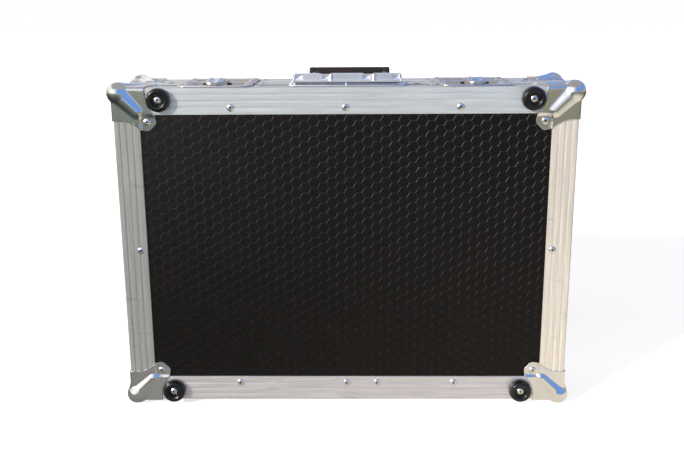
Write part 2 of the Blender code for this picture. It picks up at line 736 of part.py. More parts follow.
def latch_wing(name, centre, face, pivot):
    """The folding wing: a thick plate with a rounded tip and a slot for the rotor's lug."""
    bm = bmesh.new()
    prism_along_u(bm, rounded_end(WING_LENGTH, WING_THICK), -WING_WIDTH / 2, WING_WIDTH / 2, pivot)
    body = mesh_from(bm, "wing")
    slot = LUG_WIDTH / 2 + LATCH_PLAY
    deep = WING_THICK / 2 + LATCH_PLAY
    body = cut(body, [((-slot, -deep, -WING_THICK), (slot, WING_THICK, WING_THICK))], pivot)
    keep = bmesh.new()
    half = WING_WIDTH / 2
    outline = rounded((-half, -WING_LENGTH), (half, WING_THICK), WING_TIP_RADIUS, 3, WING_THICK / 2)
    prism_along_w(keep, outline, -WING_THICK, WING_THICK, pivot)
    body = combine(body, mesh_from(keep, "outline"), "INTERSECT")
    add(name + "_wing", body, ZINC, origin=pivot.translation, smooth_angle=35)


def latch_hook(name, centre, face):
    """The sliding hook plate: slotted round the hub, then up and over the parting line."""
    low = -DISH_DEPTH + LATCH_PLAY + ROTOR_DISC_THICK + LATCH_PLAY
    high = face
    back = HUB_RADIUS + HOOK_TRAVEL + HOOK_THICK
    start = ROTOR_FROM_PARTING - HOOK_RAMP_START
    end = ROTOR_FROM_PARTING - HOOK_RAMP_END
    reach = ROTOR_FROM_PARTING + HOOK_REACH
    outline = [
        (-back, low),
        (start, low),
        (end, high),
        (reach, high),
        (reach, high + HOOK_THICK),
        (end - HOOK_THICK / 2, high + HOOK_THICK),
        (start - HOOK_THICK / 2, low + HOOK_THICK),
        (-back, low + HOOK_THICK),
    ]
    bm = bmesh.new()
    prism_along_u(bm, outline, -HOOK_WIDTH / 2, HOOK_WIDTH / 2, centre)
    body = mesh_from(bm, "hook")
    slot = HOOK_SLOT_WIDTH / 2
    away = HUB_RADIUS + LATCH_PLAY
    box = ((-slot, -away - HOOK_TRAVEL, low - HOOK_THICK), (slot, away, low + 2 * HOOK_THICK))
    body = cut(body, [box], centre)
    add(name + "_hook", body, ZINC, origin=centre.translation)


def handle():
    """The sprung handle: plate with a front wall and cheeks, rod, springs, bow arms and grip."""
    place = shifted(TOP, HANDLE_FROM_MIDDLE)
    plate_v = -BASE_DEPTH + HANDLE_FROM_FACE
    rod_v = -BASE_DEPTH + ROD_FROM_FACE
    wall_v = plate_v + HANDLE_WALL_SETBACK
    thick = HANDLE_PLATE_THICK
    bm = bmesh.new()
    half = HANDLE_PLATE_WIDTH / 2
    outline = rounded((-half, plate_v), (half, plate_v + HANDLE_PLATE_LENGTH), HANDLE_PLATE_RADIUS)
    prism_along_w(bm, outline, CLEAR, CLEAR + thick, place)
    body = mesh_from(bm, "plate")
    wall = bmesh.new()
    wide = HANDLE_WALL_WIDTH / 2
    block(wall, (-wide, wall_v, CLEAR + thick / 2), (wide, wall_v + thick, HANDLE_WALL_HEIGHT), place)
    body = combine(body, mesh_from(wall, "wall"), "UNION")
    for low in (-wide, wide - thick):
        cheek = bmesh.new()
        far = wall_v + HANDLE_CHEEK_LENGTH
        outline = [
            (wall_v + thick / 2, CLEAR + thick / 2),
            (far, CLEAR + thick / 2),
            (far, ROD_HEIGHT),
            (far - HANDLE_CHEEK_LENGTH / 4, HANDLE_WALL_HEIGHT - thick),
            (wall_v + thick, HANDLE_WALL_HEIGHT - thick / 4),
            (wall_v + thick / 2, HANDLE_WALL_HEIGHT - thick / 4),
        ]
        prism_along_u(cheek, outline, low, low + thick, place)
        body = combine(body, mesh_from(cheek, "cheek"), "UNION")
        hole = bmesh.new()
        across = frame((low + thick / 2, rod_v, ROD_HEIGHT), (0, 1, 0), (0, 0, 1), (1, 0, 0))
        turned(hole, [(ROD_RADIUS + CLEAR, -thick), (ROD_RADIUS + CLEAR, thick)], BALL_SIDES, place @ across)
        body = combine(body, mesh_from(hole, "hole"), "DIFFERENCE")
    u = half - HANDLE_RIVET_INSET
    rows = (plate_v + HANDLE_PLATE_LENGTH / 2, plate_v + HANDLE_PLATE_LENGTH - 2 * HANDLE_RIVET_INSET)
    spots = [shifted(place, side * u, v, CLEAR + thick) for side in (-1, 1) for v in rows]
    body = riveted(body, spots, HARDWARE_RIVET_RADIUS)
    add("handle_plate", body, ZINC, smooth_angle=30)

    rod = place @ frame((0, rod_v, ROD_HEIGHT), (0, 1, 0), (0, 0, 1), (1, 0, 0))
    bow(rod, wide + 2 * CLEAR)

    bm = bmesh.new()
    inner, outer, reach = ROD_RADIUS + CLEAR, SPRING_RADIUS, SPRING_LENGTH / 2
    corners = [(outer, -reach), (outer, reach), (inner, reach), (inner, -reach)]
    ring(bm, [circle(radius, height, BALL_SIDES) for radius, height in corners], rod)
    add("handle_spring", bm, ZINC, origin=rod.translation, smooth_angle=35)


def bow(rod, head):
    """The bow that swings up: pivot rod, two arms, crossbar, and the grip moulded round bar and arms."""
    grip_w = GRIP_TOP - GRIP_THICK / 2 - ROD_HEIGHT
    tilt = math.atan2(grip_w, GRIP_FROM_ROD)
    length = math.hypot(grip_w, GRIP_FROM_ROD)
    arm_out = GRIP_LENGTH / 2 - BOW_ARM_FROM_END
    middle = shifted(rod, 0, 0, BOW_FROM_MIDDLE)

    def bar(place, profile, v=0.0, w=0.0):
        """A round bar along the rod's direction."""
        bm = bmesh.new()
        turned(bm, profile, BALL_SIDES, shifted(place, v, w))
        return mesh_from(bm, "bar")

    def arm(side, radius, play):
        """A flat arm with round ends, from the rod to the crossbar."""
        outline = []
        for start, along in ((90, 0), (-90, length)):
            for step in range(ARM_STEPS + 1):
                angle = math.radians(start + 180 * step / ARM_STEPS) + tilt
                v = along * math.cos(tilt) + radius * math.cos(angle)
                w = along * math.sin(tilt) + radius * math.sin(angle)
                outline.append((v, w))
        low = side * (arm_out - BOW_ARM_THICK / 2) - BOW_ARM_THICK / 2
        bm = bmesh.new()
        prism_along_w(bm, outline, low - play, low + BOW_ARM_THICK + play, middle)
        return mesh_from(bm, "arm")

    big, thick = ROD_RADIUS * 1.5, HANDLE_PLATE_THICK
    ends = [(big, -head - thick), (big, -head), (ROD_RADIUS, -head)]
    body = bar(rod, ends + [(radius, -height) for radius, height in reversed(ends)])
    for side in (-1, 1):
        body = combine(body, arm(side, BOW_ARM_RADIUS, 0), "UNION")
    reach = arm_out - BOW_ARM_THICK / 2
    crossbar = [(CROSSBAR_RADIUS, -reach), (CROSSBAR_RADIUS, reach)]
    body = combine(body, bar(middle, crossbar, GRIP_FROM_ROD, grip_w), "UNION")
    add("handle_bow", body, ZINC, origin=rod.translation, smooth_angle=35)

    bm = bmesh.new()
    outline = rounded(
        (GRIP_FROM_ROD - GRIP_WIDTH / 2, grip_w - GRIP_THICK / 2),
        (GRIP_FROM_ROD + GRIP_WIDTH / 2, grip_w + GRIP_THICK / 2),
        GRIP_RADIUS,
    )
    prism_along_w(bm, outline, -GRIP_LENGTH / 2, GRIP_LENGTH / 2, middle)
    bore = [(CROSSBAR_RADIUS + CLEAR, -reach), (CROSSBAR_RADIUS + CLEAR, reach)]
    grip = combine(mesh_from(bm, "grip"), bar(middle, bore, GRIP_FROM_ROD, grip_w), "DIFFERENCE")
    for side in (-1, 1):
        grip = combine(grip, arm(side, BOW_ARM_RADIUS + CLEAR, CLEAR), "DIFFERENCE")
    add("handle_grip", grip, GRIP_RUBBER, origin=rod.translation, smooth_angle=35)


def foam():
    """The foam tray round the console bay, and the pad in the lid."""
    side = HALF_WIDTH - INNER - FOAM_GAP
    low, high = BOTTOM_Z + INNER + FOAM_GAP, TOP_Z - INNER - FOAM_GAP
    first = FRONT_Y + INNER + FOAM_GAP
    end = PART_Y - CLOSING_INNER_LEG - FOAM_GAP
    outer = rim(INNER + FOAM_GAP, 0)
    bay_x = side - FOAM_SIDE_WALL
    bay_low, bay_high = low + FOAM_LONG_WALL, high - FOAM_LONG_WALL
    bay = [(-bay_x, 0, bay_low), (bay_x, 0, bay_low), (bay_x, 0, bay_high), (-bay_x, 0, bay_high)]
    steps = ((outer, first), (outer, end), (bay, end), (bay, first + FOAM_FLOOR))
    bm = bmesh.new()
    loft(bm, [[(x, y, z) for x, _, z in loop] for loop, y in steps])
    add("base_foam_tray", bm, FOAM)

    last = BACK_Y - INNER - FOAM_GAP
    bm = bmesh.new()
    block(bm, (-side, last - FOAM_LID, low), (side, last, high))
    add("lid_foam_pad", bm, FOAM)


def build():
    """The whole case."""
    corner = corner_mesh()
    for half in ("base", "lid"):
        shell(half)
        ball_corners(half, corner)
    feet()
    latches()
    handle()
    foam()


build()
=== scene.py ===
# %% [markdown]
# # Dressing a flight case
#
# A flight case for a small lighting console: two shallow trays of black laminated plywood, bound in
# ribbed aluminium angle, with pressed steel ball corners, rubber feet, recessed butterfly latches
# and a sprung handle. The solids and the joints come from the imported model. This lesson gives each
# solid the shape and the finish that the eye expects, one piece at a time.
#
# Everything is in metres. X runs across the case, -Y is the base face with the feet, +Y is the lid,
# and +Z is up, with the handle on top.

import math

import bmesh
import bpy
import numpy as np
from mathutils import Matrix, Vector


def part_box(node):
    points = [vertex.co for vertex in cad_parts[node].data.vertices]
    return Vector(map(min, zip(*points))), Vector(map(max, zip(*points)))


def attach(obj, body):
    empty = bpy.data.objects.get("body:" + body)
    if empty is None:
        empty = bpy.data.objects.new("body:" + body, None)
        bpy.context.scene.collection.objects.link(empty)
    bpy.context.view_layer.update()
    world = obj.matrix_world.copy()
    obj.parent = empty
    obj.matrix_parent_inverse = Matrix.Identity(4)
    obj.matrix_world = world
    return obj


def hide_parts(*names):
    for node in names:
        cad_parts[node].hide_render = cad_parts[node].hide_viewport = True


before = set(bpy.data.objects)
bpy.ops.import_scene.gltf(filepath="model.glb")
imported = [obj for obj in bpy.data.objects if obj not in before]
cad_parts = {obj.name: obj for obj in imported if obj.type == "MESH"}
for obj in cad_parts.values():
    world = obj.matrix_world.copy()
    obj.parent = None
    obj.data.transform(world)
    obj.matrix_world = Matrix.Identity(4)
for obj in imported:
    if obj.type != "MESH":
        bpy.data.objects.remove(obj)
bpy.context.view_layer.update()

# %% [markdown]
# ## Sizes that the pieces share
#
# The outside of the case is read from its plain corner angles, which carry no rivets. The other
# sizes are those of the hardware, measured the way a maker lists them: plate, leg, radius, pitch.

# %% Read the case's faces from the solids
low_corner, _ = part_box("base_corner_angle_bottom_left")
_, high_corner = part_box("lid_corner_angle_top_right")
HALF_WIDTH = high_corner[0]
SKIN = 0.0018
FRONT_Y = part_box("base_panel")[0][1] - SKIN
BACK_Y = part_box("lid_panel")[1][1] + SKIN
BOTTOM_Z, TOP_Z = low_corner[2], high_corner[2]
MIDDLE_Z = (BOTTOM_Z + TOP_Z) / 2
HALF_HEIGHT = (TOP_Z - BOTTOM_Z) / 2
PART_GAP = 0.0006
PART_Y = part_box("base_closing_profile")[1][1] + PART_GAP / 2
CLEAR = 0.0003
PLY = 0.009
INNER = SKIN + PLY
HERE = Matrix.Identity(4)
print("case", round(2 * HALF_WIDTH, 4), "wide,", round(2 * HALF_HEIGHT, 4), "high")
print("parting line at y", round(PART_Y, 4))

# %% [markdown]
# Each side of the case gets a local frame: u and v lie in the face, and w points out of it. A latch,
# a rivet or a strip of board is then drawn once, flat, and placed on any side.

# %% Local frames on the six sides
def frame_at(origin, u, v, w):
    turn = Matrix((Vector(u), Vector(v), Vector(w))).transposed().to_4x4()
    return Matrix.Translation(Vector(origin)) @ turn


FRONT = frame_at((0, FRONT_Y, MIDDLE_Z), (1, 0, 0), (0, 0, 1), (0, -1, 0))
BACK = frame_at((0, BACK_Y, MIDDLE_Z), (-1, 0, 0), (0, 0, 1), (0, 1, 0))
TOP = frame_at((0, PART_Y, TOP_Z), (1, 0, 0), (0, 1, 0), (0, 0, 1))
UNDER = frame_at((0, PART_Y, BOTTOM_Z), (-1, 0, 0), (0, 1, 0), (0, 0, -1))
LEFT = frame_at((-HALF_WIDTH, PART_Y, MIDDLE_Z), (0, -1, 0), (0, 0, 1), (-1, 0, 0))
RIGHT = frame_at((HALF_WIDTH, PART_Y, MIDDLE_Z), (0, 1, 0), (0, 0, 1), (1, 0, 0))


def moved(place, u=0.0, v=0.0, w=0.0):
    return place @ Matrix.Translation(Vector((u, v, w)))


print("frames on six sides")

# %% [markdown]
# ## Finishes
#
# A finish is a tree of nodes. Writing one in code takes many similar calls, so a small helper holds
# the tree and adds a node, a stretched noise, a mask or a blend in one line each. Patterns read
# Object coordinates, because every finished piece sits unturned at the origin, so a pattern stays
# where it is and keeps its real size.

# %% A helper that adds nodes to a tree
class Painter:
    def __init__(self, tree, coordinate="Object"):
        self.tree = tree
        self.where = self.node("ShaderNodeTexCoord").outputs[coordinate]

    def node(self, kind, **values):
        made = self.tree.nodes.new(kind)
        for key, value in values.items():
            socket = made.inputs.get(key.replace("_", " "))
            if socket is None:
                setattr(made, key, value)
            elif isinstance(value, bpy.types.NodeSocket):
                self.tree.links.new(value, socket)
            else:
                socket.default_value = value
        return made

    def stretched(self, scale, turn=(0, 0, 0), source=None):
        source = self.where if source is None else source
        return self.node("ShaderNodeMapping", Vector=source, Scale=scale, Rotation=turn).outputs[0]

    def noise(self, scale, detail=2.0, vector=None, distortion=0.0):
        vector = self.where if vector is None else vector
        made = self.node(
            "ShaderNodeTexNoise", Vector=vector, Scale=scale, Detail=detail, Distortion=distortion
        )
        return made.outputs["Fac"]

    def mask(self, value, low, high, to_low=0.0, to_high=1.0, curve="LINEAR"):
        made = self.node("ShaderNodeMapRange", interpolation_type=curve)
        self.tree.links.new(value, made.inputs["Value"])
        for name, number in zip(("From Min", "From Max", "To Min", "To Max"), (low, high, to_low, to_high)):
            made.inputs[name].default_value = number
        return made.outputs["Result"]

    def sums(self, operation, first, second):
        made = self.node("ShaderNodeMath", operation=operation)
        for socket, value in zip(made.inputs, (first, second)):
            if isinstance(value, bpy.types.NodeSocket):
                self.tree.links.new(value, socket)
            else:
                socket.default_value = value
        return made.outputs[0]

    def blend(self, factor, first, second):
        made = self.node("ShaderNodeMix", data_type="RGBA")
        for socket, value in ((made.inputs[0], factor), (made.inputs[6], first), (made.inputs[7], second)):
            if isinstance(value, bpy.types.NodeSocket):
                self.tree.links.new(value, socket)
            else:
                socket.default_value = (*value, 1) if isinstance(value, tuple) else value
        return made.outputs[2]


print("painter ready")

# %% [markdown]
# A material adds its own name, its shader with the plain values, and bumps. Constants are set on the
# shader's sockets, and `use` links a pattern to one of them.

# %% A helper that builds materials
class Finish(Painter):
    def __init__(self, name, colour, roughness, metallic=0.0):
        self.material = bpy.data.materials.new(name)
        self.material.use_nodes = True
        super().__init__(self.material.node_tree)
        self.shader = self.tree.nodes["Principled BSDF"]
        self.shader.inputs["Base Color"].default_value = (*colour, 1)
        self.shader.inputs["Roughness"].default_value = roughness
        self.shader.inputs["Metallic"].default_value = metallic
        self.material.diffuse_color = (*colour, 1)

    def use(self, **sockets):
        for key, value in sockets.items():
            self.tree.links.new(value, self.shader.inputs[key.replace("_", " ")])

    def bump(self, *layers):
        """Layers of (height, distance in metres), the later ones on top of the earlier."""
        normal = None
        for height, distance in layers:
            made = self.node("ShaderNodeBump", Distance=distance, Height=height)
            if normal is not None:
                self.tree.links.new(normal, made.inputs["Normal"])
            normal = made.outputs["Normal"]
        self.use(Normal=normal)


def toned(colour, share, lift=0.0):
    """The colour made darker or paler by a share."""
    return tuple(min(1.0, part * share + lift) for part in colour)


print("finish helper ready")

# %% [markdown]
# ### Extruded aluminium
#
# The edge angle is pulled through a die, which leaves fine lines along its whole length, and years
# of loading leave grey scuffs and short scratches across them. The die lines must follow each bar,
# whichever way it runs, so they read an attribute, `grain`, that the bars carry: the distance along
# the bar, the distance across it and a number for the bar. A second attribute, `across`, is the
# direction across the die lines. Drawn metal spreads a reflection that way, so it turns the gloss.
# On the front, each of the four bars has a tone of its own, and these tones are painted light and shade:
# painted shade on the left bar, painted light on the right and lowest bars, and a painted sky tint on the top
# bar. The lowest one, polished by being slid about, is also the most mirror-like.

# %% Aluminium
def aluminium(name, colour, metal=0.4):
    made = Finish(name, colour, 0.36, metal)
    grain = made.node("ShaderNodeAttribute", attribute_name="grain").outputs["Vector"]
    across = made.node("ShaderNodeAttribute", attribute_name="across").outputs["Vector"]
    made.shader.inputs["Anisotropic"].default_value = 0.7
    made.use(Tangent=across)
    lines = made.noise(1.0, 3, made.stretched((5, 2600, 9), source=grain))
    drag = made.noise(1.0, 2, made.stretched((16, 420, 5), source=grain))
    cloud = made.noise(14, 4)
    scuff = made.mask(made.noise(60, 5, made.stretched((0.5, 1, 1.4)), 0.6), 0.64, 0.74)
    nick = made.mask(made.noise(1.0, 1, made.stretched((90, 90, 900), (0.5, 0.9, 0.3))), 0.74, 0.78)
    worn = made.sums("MULTIPLY", made.sums("MAXIMUM", scuff, nick), 0.55)
    tone = made.blend(made.mask(drag, 0.35, 0.65), toned(colour, 0.9), toned(colour, 1.10))
    tone = made.blend(made.mask(cloud, 0.35, 0.75, 0.0, 0.35), tone, toned(colour, 0.86))
    made.use(Base_Color=made.blend(worn, tone, toned(colour, 0.62)))
    rough = made.sums("ADD", made.mask(lines, 0.3, 0.7, 0.38, 0.50), made.sums("MULTIPLY", worn, 0.2))
    made.use(Roughness=rough)
    made.bump((lines, 0.00003), (nick, 0.0001), (scuff, 0.00005))
    return made.material


# The tones of the front bars are painted light and shade, set bar by bar; the lid's bars take the plain tone.
ALUMINIUM = {
    "top": aluminium("aluminium_top_painted_sky_tint", (0.56, 0.59, 0.60)),
    "left": aluminium("aluminium_left_painted_shade", (0.36, 0.36, 0.35)),
    "right": aluminium("aluminium_right_painted_light", (0.73, 0.67, 0.60)),
    "bottom": aluminium("aluminium_bottom_painted_light", (0.77, 0.73, 0.72), 0.8),
    "plain": aluminium("aluminium_plain", (0.66, 0.67, 0.68)),
}
print("aluminium:", sorted(ALUMINIUM))

# %% [markdown]
# ### Steel
#
# The ball corners are bright plated steel: nearly a mirror, but pressed, so the surface waves a little, and
# handled, so it has dull smears. The latches and the handle are zinc plated, which is whiter, duller and
# cloudy. The handle's zinc is paler still and tinted blue, a painted sky reflection. Rivets are the same zinc
# with a smaller cloud. A dark steel is painted shadow for what is always in deep shadow: the bottom of a
# hole, or the gap under an edge.

# %% Bright, zinc and dark steel
def steel(name, colour, roughness, cloud_scale, wave, smear):
    made = Finish(name, colour, roughness, 1.0)
    cloud = made.noise(cloud_scale, 4, distortion=0.4)
    fine = made.noise(cloud_scale * 14, 2)
    scratch = made.mask(made.noise(1.0, 1, made.stretched((160, 1500, 160), (0.7, 0.2, 0.5))), 0.72, 0.78)
    shade = toned(colour, 0.8)
    tone = made.blend(made.mask(cloud, 0.35, 0.7, 0.0, 0.5), colour, shade)
    made.use(Base_Color=made.blend(made.sums("MULTIPLY", scratch, 0.4), tone, shade))
    rough = made.mask(cloud, 0.4, 0.75, roughness, roughness + smear)
    made.use(Roughness=made.sums("ADD", rough, made.sums("MULTIPLY", scratch, 0.2)))
    made.bump((cloud, wave), (fine, wave / 12), (scratch, 0.00003))
    return made.material


BRIGHT_STEEL = steel("bright_corner_steel", (0.80, 0.80, 0.79), 0.09, 38, 0.00012, 0.10)
ZINC = steel("zinc_plate", (0.72, 0.69, 0.65), 0.24, 90, 0.00008, 0.18)
# Paler and bluer than ZINC: a painted sky reflection on the handle.
HANDLE_ZINC_SKY_TINTED = steel("handle_zinc_painted_sky", (0.84, 0.84, 0.87), 0.38, 70, 0.00004, 0.12)
RIVET_STEEL = steel("rivet_steel", (0.80, 0.79, 0.77), 0.22, 240, 0.00008, 0.15)
# Painted shadow: near-black steel for what always lies in deep shadow.
SHADOW_STEEL = steel("rivet_hole_shadow", (0.05, 0.05, 0.05), 0.6, 300, 0.00003, 0.1)
print("steel finishes ready")

# %% [markdown]
# ### Laminate
#
# The board is plywood with a black phenolic skin, pressed with raised hexagons. The hexagons are real relief
# here, so the finish only adds what lies between them: a very fine cloth-like tooth, dust and a soft sheen.
# The shine of the raised lines may grow with the height, a painted highlight where the upper lines catch more
# light.

# %% Laminate
def laminate(name, colour, roughness, shine, low_shine=None):
    made = Finish(name, colour, roughness)
    made.shader.inputs["Specular IOR Level"].default_value = shine
    # Painted highlight: the lines' shine grows from low_shine at the bottom to shine higher up.
    if low_shine is not None:
        height = made.node("ShaderNodeSeparateXYZ", Vector=made.where).outputs["Z"]
        made.use(Specular_IOR_Level=made.mask(height, 0.10, 0.36, low_shine, shine))
    threads = []
    for turn in (0.78, -0.78):
        turned_place = made.stretched((1, 1, 1), (0.0, turn, 0.0))
        thread = made.node("ShaderNodeTexWave", Vector=turned_place, Scale=620.0)
        threads.append(thread.outputs["Fac"])
    weave = made.sums("MULTIPLY", *threads)
    speck = made.noise(900, 2)
    dust = made.mask(made.noise(22, 5), 0.4, 0.75)
    light = toned(colour, 2.2)
    tone = made.blend(made.mask(speck, 0.5, 0.8, 0.0, 0.6), colour, light)
    made.use(Base_Color=made.blend(made.sums("MULTIPLY", dust, 0.25), tone, light))
    made.use(Roughness=made.mask(speck, 0.3, 0.7, roughness - 0.06, roughness + 0.10))
    made.bump((weave, 0.00006), (speck, 0.00005))
    return made.material


LAMINATE = laminate("hexagon_laminate", (0.0026, 0.0019, 0.0014), 0.34, 0.20)
LINE_LAMINATE = laminate("laminate_line", (0.0070, 0.0054, 0.0042), 0.40, 0.45, 0.10)
print("laminate finishes ready")

# %% [markdown]
# ### Rubber and foam
#
# Rubber is nearly black with a moulded gloss and some dust. Foam is matt and porous. Its cells are small pits
# in the bump, painted darker in their hollows as painted shade, and they carry most of its look.

# %% Rubber and foam
def rubber(name, colour, roughness, grain_scale, shine):
    made = Finish(name, colour, roughness)
    made.shader.inputs["Specular IOR Level"].default_value = shine
    grain = made.noise(grain_scale, 3)
    dust = made.mask(made.noise(70, 4), 0.45, 0.8, 0.0, 0.5)
    made.use(Base_Color=made.blend(dust, colour, toned(colour, 2.4, 0.004)))
    made.use(Roughness=made.mask(grain, 0.3, 0.7, roughness - 0.06, roughness + 0.14))
    made.bump((grain, 0.00006))
    return made.material


def foam_finish():
    made = Finish("open_cell_foam", (0.030, 0.030, 0.033), 0.95)
    cells = made.node("ShaderNodeTexVoronoi", Vector=made.where, Scale=700.0).outputs["Distance"]
    cloud = made.noise(40, 3)
    # Painted shade: each cell is darker towards its hollow.
    tone = made.blend(made.mask(cells, 0.1, 0.6), (0.016, 0.016, 0.018), (0.05, 0.05, 0.054))
    made.use(Base_Color=made.blend(made.mask(cloud, 0.3, 0.8, 0.0, 0.3), tone, (0.06, 0.06, 0.065)))
    made.use(Roughness=made.mask(cells, 0.0, 0.6, 0.8, 1.0))
    made.bump((cells, 0.0004))
    made.shader.inputs["Sheen Weight"].default_value = 0.15
    return made.material


FOOT_RUBBER = rubber("foot_rubber", (0.0036, 0.0032, 0.0030), 0.22, 500, 0.45)
GRIP_RUBBER = rubber("grip_rubber", (0.018, 0.013, 0.010), 0.46, 900, 0.25)
FOAM = foam_finish()
print("rubber and foam finishes ready")

# %% [markdown]
# ## Getting a shape onto a body
#
# A shape starts as a list of points and faces. Three small helpers tidy such a mesh, copy it to
# another place and join several into one. A mirrored copy turns inside out, so it is flipped back.

# %% Meshes
def mesh_of(points, faces, name="shape"):
    mesh = bpy.data.meshes.new(name)
    mesh.from_pydata([tuple(point) for point in points], [], faces)
    return mesh


def tidy(mesh, merge=1e-6):
    """Merges doubles, drops empty faces and turns the faces outwards."""
    bm = bmesh.new()
    bm.from_mesh(mesh)
    bmesh.ops.remove_doubles(bm, verts=bm.verts, dist=merge)
    bmesh.ops.dissolve_degenerate(bm, edges=bm.edges, dist=merge)
    bmesh.ops.recalc_face_normals(bm, faces=bm.faces)
    bm.to_mesh(mesh)
    bm.free()
    return mesh


def placed(mesh, place):
    """A copy of the mesh in another local frame, with its faces still pointing outwards."""
    copy = mesh.copy()
    copy.transform(place)
    if place.determinant() < 0:
        copy.flip_normals()
    return copy


def joined(*meshes):
    bm = bmesh.new()
    for mesh in meshes:
        bm.from_mesh(mesh)
    out = bpy.data.meshes.new("joined")
    bm.to_mesh(out)
    bm.free()
    return out


print("mesh helpers ready")

# %% [markdown]
# Cuts and bevels are Blender's modifiers, put on a temporary object. Its evaluated mesh is read back
# as a plain one, so that nothing live is left on a piece.

# %% Cuts and bevels
def evaluated(mesh, build):
    """The mesh after the modifiers that build() adds to a temporary object."""
    body = bpy.data.objects.new("work", mesh)
    bpy.context.collection.objects.link(body)
    extra = build(body) or []
    bpy.context.view_layer.update()
    result = bpy.data.meshes.new_from_object(body.evaluated_get(bpy.context.evaluated_depsgraph_get()))
    for item in [body, *extra]:
        bpy.data.objects.remove(item)
    return result


def combined(mesh, tool, operation="DIFFERENCE"):
    def build(body):
        other = bpy.data.objects.new("tool", tool)
        bpy.context.collection.objects.link(other)
        step = body.modifiers.new("combine", "BOOLEAN")
        step.operation, step.solver, step.object = operation, "EXACT", other
        return [other]

    return evaluated(mesh, build)


def softened(mesh, width, segments=2, angle=35):
    def build(body):
        step = body.modifiers.new("edges", "BEVEL")
        step.width, step.segments, step.limit_method = width, segments, "ANGLE"
        step.angle_limit = math.radians(angle)

    return evaluated(mesh, build)


print("modifier helpers ready")

# %% [markdown]
# Every piece goes through one function: it makes the object at the origin, gives it its finish, smooths what
# is round and keeps what is sharp, hangs it on an empty for the body that carries it, and hides the solids it
# stands for.

# %% Pieces
def piece(name, mesh, finish, body, replaced=(), smooth=38):
    mesh.name = name
    mesh.materials.clear()
    mesh.materials.append(finish)
    mesh.shade_smooth()
    mesh.set_sharp_from_angle(angle=math.radians(smooth))
    made = bpy.data.objects.new(name, mesh)
    bpy.context.collection.objects.link(made)
    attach(made, body)
    if replaced:
        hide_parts(*replaced)
    return made


print("piece helper ready")

# %% [markdown]
# Three ways of drawing cover most of the hardware: a loft through loops with the same number of
# points, a profile turned round an axis, and a flat outline pushed through a thickness.

# %% Lofts, turned shapes and plates
def loft(loops, closed=False):
    """A skin through loops; the ends are capped unless the loops close on themselves."""
    count = len(loops[0])
    points = [point for loop in loops for point in loop]
    faces = []
    last = len(loops) if closed else len(loops) - 1
    for row in range(last):
        after = (row + 1) % len(loops)
        for i in range(count):
            j = (i + 1) % count
            faces.append((row * count + i, row * count + j, after * count + j, after * count + i))
    if not closed:
        faces.append(tuple(reversed(range(count))))
        faces.append(tuple(range((len(loops) - 1) * count, len(loops) * count)))
    return tidy(mesh_of(points, faces))


def turned(profile, sides=48):
    """Radius and height pairs turned round w."""
    loops = []
    for radius, height in profile:
        radius = max(radius, 1e-7)
        angles = [2 * math.pi * i / sides for i in range(sides)]
        loops.append([(radius * math.cos(a), radius * math.sin(a), height) for a in angles])
    return loft(loops)


def rectangle(low, high, near_radius, far_radius=None, steps=6):
    """Rounded rectangle; far_radius is for the two corners at the high v side."""
    far = near_radius if far_radius is None else far_radius
    corners = (
        (high[0] - near_radius, low[1] + near_radius, near_radius, -90),
        (high[0] - far, high[1] - far, far, 0),
        (low[0] + far, high[1] - far, far, 90),
        (low[0] + near_radius, low[1] + near_radius, near_radius, 180),
    )
    points = []
    for u, v, radius, start in corners:
        for step in range(steps + 1):
            angle = math.radians(start + 90 * step / steps)
            points.append((u + radius * math.cos(angle), v + radius * math.sin(angle)))
    return points


def plate(outline, low, high, along="w"):
    """A flat outline pushed from low to high along u or w."""
    if along == "u":
        return loft([[(h, a, b) for a, b in outline] for h in (low, high)])
    return loft([[(a, b, h) for a, b in outline] for h in (low, high)])


def box_mesh(low, high):
    corners = [(low[0], low[1]), (high[0], low[1]), (high[0], high[1]), (low[0], high[1])]
    return plate(corners, low[2], high[2])


print("drawing helpers ready")

# %% [markdown]
# ## Geometry Nodes: a helper
#
# What repeats is grown by Geometry Nodes. The helper makes a tree with named inputs, and `grow` sets
# them by their identifiers before the object is first evaluated, then turns the result into a plain
# mesh, so that nothing live is left on a piece.

# %% Trees and growing
SOCKETS = {
    "float": "NodeSocketFloat",
    "int": "NodeSocketInt",
    "material": "NodeSocketMaterial",
    "geometry": "NodeSocketGeometry",
}


